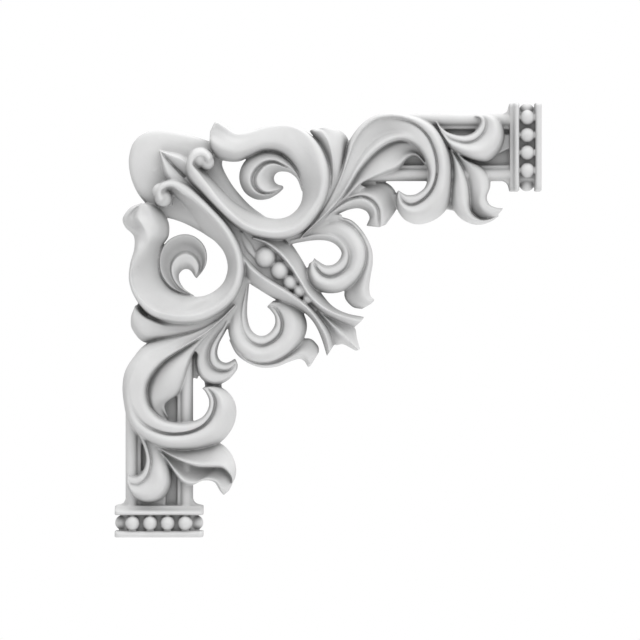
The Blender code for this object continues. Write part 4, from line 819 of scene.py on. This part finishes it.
def cast(carving):
    """The shells as one continuous skin, softened as a casting is, cut flat at the wall."""
    points, faces = [], []
    for shell_points, shell_faces in carving.shells.values():
        faces += [[len(points) + k for k in face] for face in shell_faces]
        points += shell_points.tolist()
    data = bpy.data.meshes.new("leaves")
    data.from_pydata(points, [], faces)
    shells = added("leaves", data)
    remesh = shells.modifiers.new("skin", "REMESH")
    remesh.mode = "VOXEL"
    remesh.voxel_size = VOXEL
    soften = shells.modifiers.new("soften", "SMOOTH")
    soften.factor = SOFTENING
    soften.iterations = SOFTENING_ROUNDS
    skin = applied(shells)
    triangles = sum(len(face.vertices) - 2 for face in skin.polygons)
    shells.modifiers.clear()
    shells.data = skin
    lighten = shells.modifiers.new("lighten", "DECIMATE")
    lighten.ratio = min(1, TRIANGLES / triangles)
    skin = applied(shells)
    bpy.data.objects.remove(shells)
    mesh = bmesh.new()
    mesh.from_mesh(skin)
    geometry = [*mesh.verts, *mesh.edges, *mesh.faces]
    cut = bmesh.ops.bisect_plane(mesh, geom=geometry, dist=WALL_TOLERANCE, plane_co=(0, 0, 0),
                                 plane_no=(0, 1, 0), clear_outer=True)
    rim = [e for e in cut["geom_cut"] if isinstance(e, bmesh.types.BMEdge)]
    bmesh.ops.triangle_fill(mesh, edges=rim, use_beauty=False, use_dissolve=False, normal=(0, 1, 0))
    bmesh.ops.recalc_face_normals(mesh, faces=mesh.faces)
    for face in mesh.faces:
        face.smooth = True
    mesh.to_mesh(skin)
    mesh.free()
    return added("carved_corner", skin)


def added(name, data):
    """A new object in the scene."""
    made = bpy.data.objects.new(name, data)
    bpy.context.scene.collection.objects.link(made)
    return made


def applied(obj):
    """A new mesh of the object with its modifiers applied."""
    graph = bpy.context.evaluated_depsgraph_get()
    return bpy.data.meshes.new_from_object(obj.evaluated_get(graph))


def node(tree, kind, place, **values):
    """A shader node, with the values of its sockets or of its own settings."""
    made = tree.nodes.new("ShaderNode" + kind)
    made.location = place
    for key, value in values.items():
        if key in made.inputs:
            made.inputs[key].default_value = value
        else:
            setattr(made, key, value)
    return made


def grey_ramp(tree, place, *stops):
    """A colour ramp through greys, each stop a position and a brightness."""
    made = node(tree, "ValToRGB", place)
    elements = made.color_ramp.elements
    while len(elements) < len(stops):
        elements.new(0.5)
    for element, (position, grey) in zip(elements, stops):
        element.position = position
        element.color = (grey, grey, grey, 1)
    return made


def plaster():
    """Off-white cast plaster: fine-grained, a little uneven in tone, with painted shade darkening the
    hollows.
    """
    material = bpy.data.materials.new("cast_plaster")
    material.use_nodes = True
    tree = material.node_tree
    shader = tree.nodes["Principled BSDF"]
    shader.inputs["Roughness"].default_value = 0.62
    shader.inputs["Specular IOR Level"].default_value = 0.35
    place = node(tree, "TexCoord", (-1300, 0))
    cloudy = node(tree, "TexNoise", (-1000, 200), Scale=28, Detail=4, Roughness=0.55)
    tone = grey_ramp(tree, (-780, 200), (0.35, 0.66), (0.7, 0.72))
    # Painted shade: ambient occlusion darkens the base colour in hollows, creases and between parts, where
    # shade falls
    hollow = node(tree, "AmbientOcclusion", (-780, -80), Distance=0.025, samples=12)
    painted_shade_ramp = grey_ramp(tree, (-560, -80), (0.2, 0.34), (1, 1))
    # The plaster's own uneven tone, multiplied by the painted shade of the hollows
    painted_shade = node(tree, "Mix", (-280, 100), data_type="RGBA", blend_type="MULTIPLY", Factor=1)
    grain = node(tree, "TexNoise", (-780, -360), Scale=900, Detail=3, Roughness=0.6)
    waves = node(tree, "TexNoise", (-780, -600), Scale=120, Detail=2)
    fine = node(tree, "Bump", (-280, -300), Strength=0.12, Distance=0.0004)
    broad = node(tree, "Bump", (-280, -520), Strength=0.12, Distance=0.001)
    join = tree.links.new
    for texture in (cloudy, grain, waves):
        join(place.outputs["Object"], texture.inputs["Vector"])
    join(cloudy.outputs["Fac"], tone.inputs["Fac"])
    join(hollow.outputs["AO"], painted_shade_ramp.inputs["Fac"])
    first_colour, second_colour = (socket for socket in painted_shade.inputs if socket.type == "RGBA")
    mixed_colour = next(socket for socket in painted_shade.outputs if socket.type == "RGBA")
    join(tone.outputs["Color"], first_colour)
    join(painted_shade_ramp.outputs["Color"], second_colour)
    join(mixed_colour, shader.inputs["Base Color"])
    join(waves.outputs["Fac"], broad.inputs["Height"])
    join(grain.outputs["Fac"], fine.inputs["Height"])
    join(broad.outputs["Normal"], fine.inputs["Normal"])
    join(fine.outputs["Normal"], shader.inputs["Normal"])
    return material


def area_light(name, place, target, power):
    """A rectangular lamp that faces the target."""
    data = bpy.data.lights.new(name, "AREA")
    data.shape = "RECTANGLE"
    data.size, data.size_y = LAMP_SIZE
    data.energy = power
    light = added(name, data)
    light.location = place
    light.rotation_euler = (Vector(target) - Vector(place)).to_track_quat("-Z", "Y").to_euler()


def studio():
    """A white room, lit softly from above and from below, over a pale floor."""
    scene = bpy.context.scene
    scene.view_settings.view_transform = "Standard"
    world = bpy.data.worlds.new("white_room")
    world.use_nodes = True
    tree = world.node_tree
    tree.nodes.clear()
    join = tree.links.new
    seen = node(tree, "LightPath", (-600, 200))
    place = node(tree, "TexCoord", (-1100, 0))
    split = node(tree, "SeparateXYZ", (-920, 0))
    rise = node(tree, "MapRange", (-740, 0), **{"From Min": -1})
    bands = grey_ramp(tree, (-560, 0), (0, BELOW_SHARE), (0.5, LEVEL_SHARE), (1, 1))
    side = node(tree, "MapRange", (-560, -200), **{
        "From Min": -1, "To Min": ROOM_LIGHT * (1 - LEAN_RIGHT), "To Max": ROOM_LIGHT * (1 + LEAN_RIGHT)})
    glow = node(tree, "Background", (-300, 0))
    join(place.outputs["Generated"], split.inputs[0])
    join(split.outputs["Z"], rise.inputs["Value"])
    join(rise.outputs["Result"], bands.inputs["Fac"])
    join(bands.outputs["Color"], glow.inputs["Color"])
    join(split.outputs["X"], side.inputs["Value"])
    join(side.outputs["Result"], glow.inputs["Strength"])
    white = node(tree, "Background", (-300, -200), Color=(1, 1, 1, 1))
    mix = node(tree, "MixShader", (0, 0))
    out = node(tree, "OutputWorld", (200, 0))
    join(seen.outputs["Is Camera Ray"], mix.inputs[0])
    join(glow.outputs[0], mix.inputs[1])
    join(white.outputs[0], mix.inputs[2])
    join(mix.outputs[0], out.inputs[0])
    scene.world = world
    centre = (CENTRE[0], 0, CENTRE[1])
    for name, ((across, deep, up), power) in LAMPS.items():
        area_light(name, (CENTRE[0] + across, deep, up), centre, power)
    data = bpy.data.meshes.new("floor")
    corners = [(across * FLOOR_REACH, deep * FLOOR_REACH, FLOOR_LEVEL)
               for across, deep in ((-1, -1), (1, -1), (1, 1), (-1, 1))]
    data.from_pydata(corners, [], [(0, 1, 2, 3)])
    floor = added("floor", data)
    paint = bpy.data.materials.new("pale_floor")
    paint.use_nodes = True
    paint.node_tree.nodes["Principled BSDF"].inputs["Base Color"].default_value = (0.8, 0.8, 0.8, 1)
    data.materials.append(paint)


def camera():
    """Straight on, through a long lens. The sheet of squares fills the picture at the sharp plane."""
    data = bpy.data.cameras.new("camera")
    data.sensor_width = 36
    data.lens = data.sensor_width * CAMERA_DISTANCE / (SHEET_SQUARES * SQUARE)
    data.clip_end = 50
    eye = added("camera", data)
    eye.location = (CENTRE[0], -CAMERA_DISTANCE - SHARP_PLANE, CENTRE[1])
    eye.rotation_euler = (np.pi / 2, 0, 0)
    bpy.context.scene.camera = eye


carving = Carving()
arms(carving)
ground(carving)
centre(carving)
knobs(carving)
upper_side(carving)
left_side(carving)
corner = cast(carving)
corner.data.materials.append(plaster())
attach(corner, "root")
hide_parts("corner_moulding")
studio()
camera()
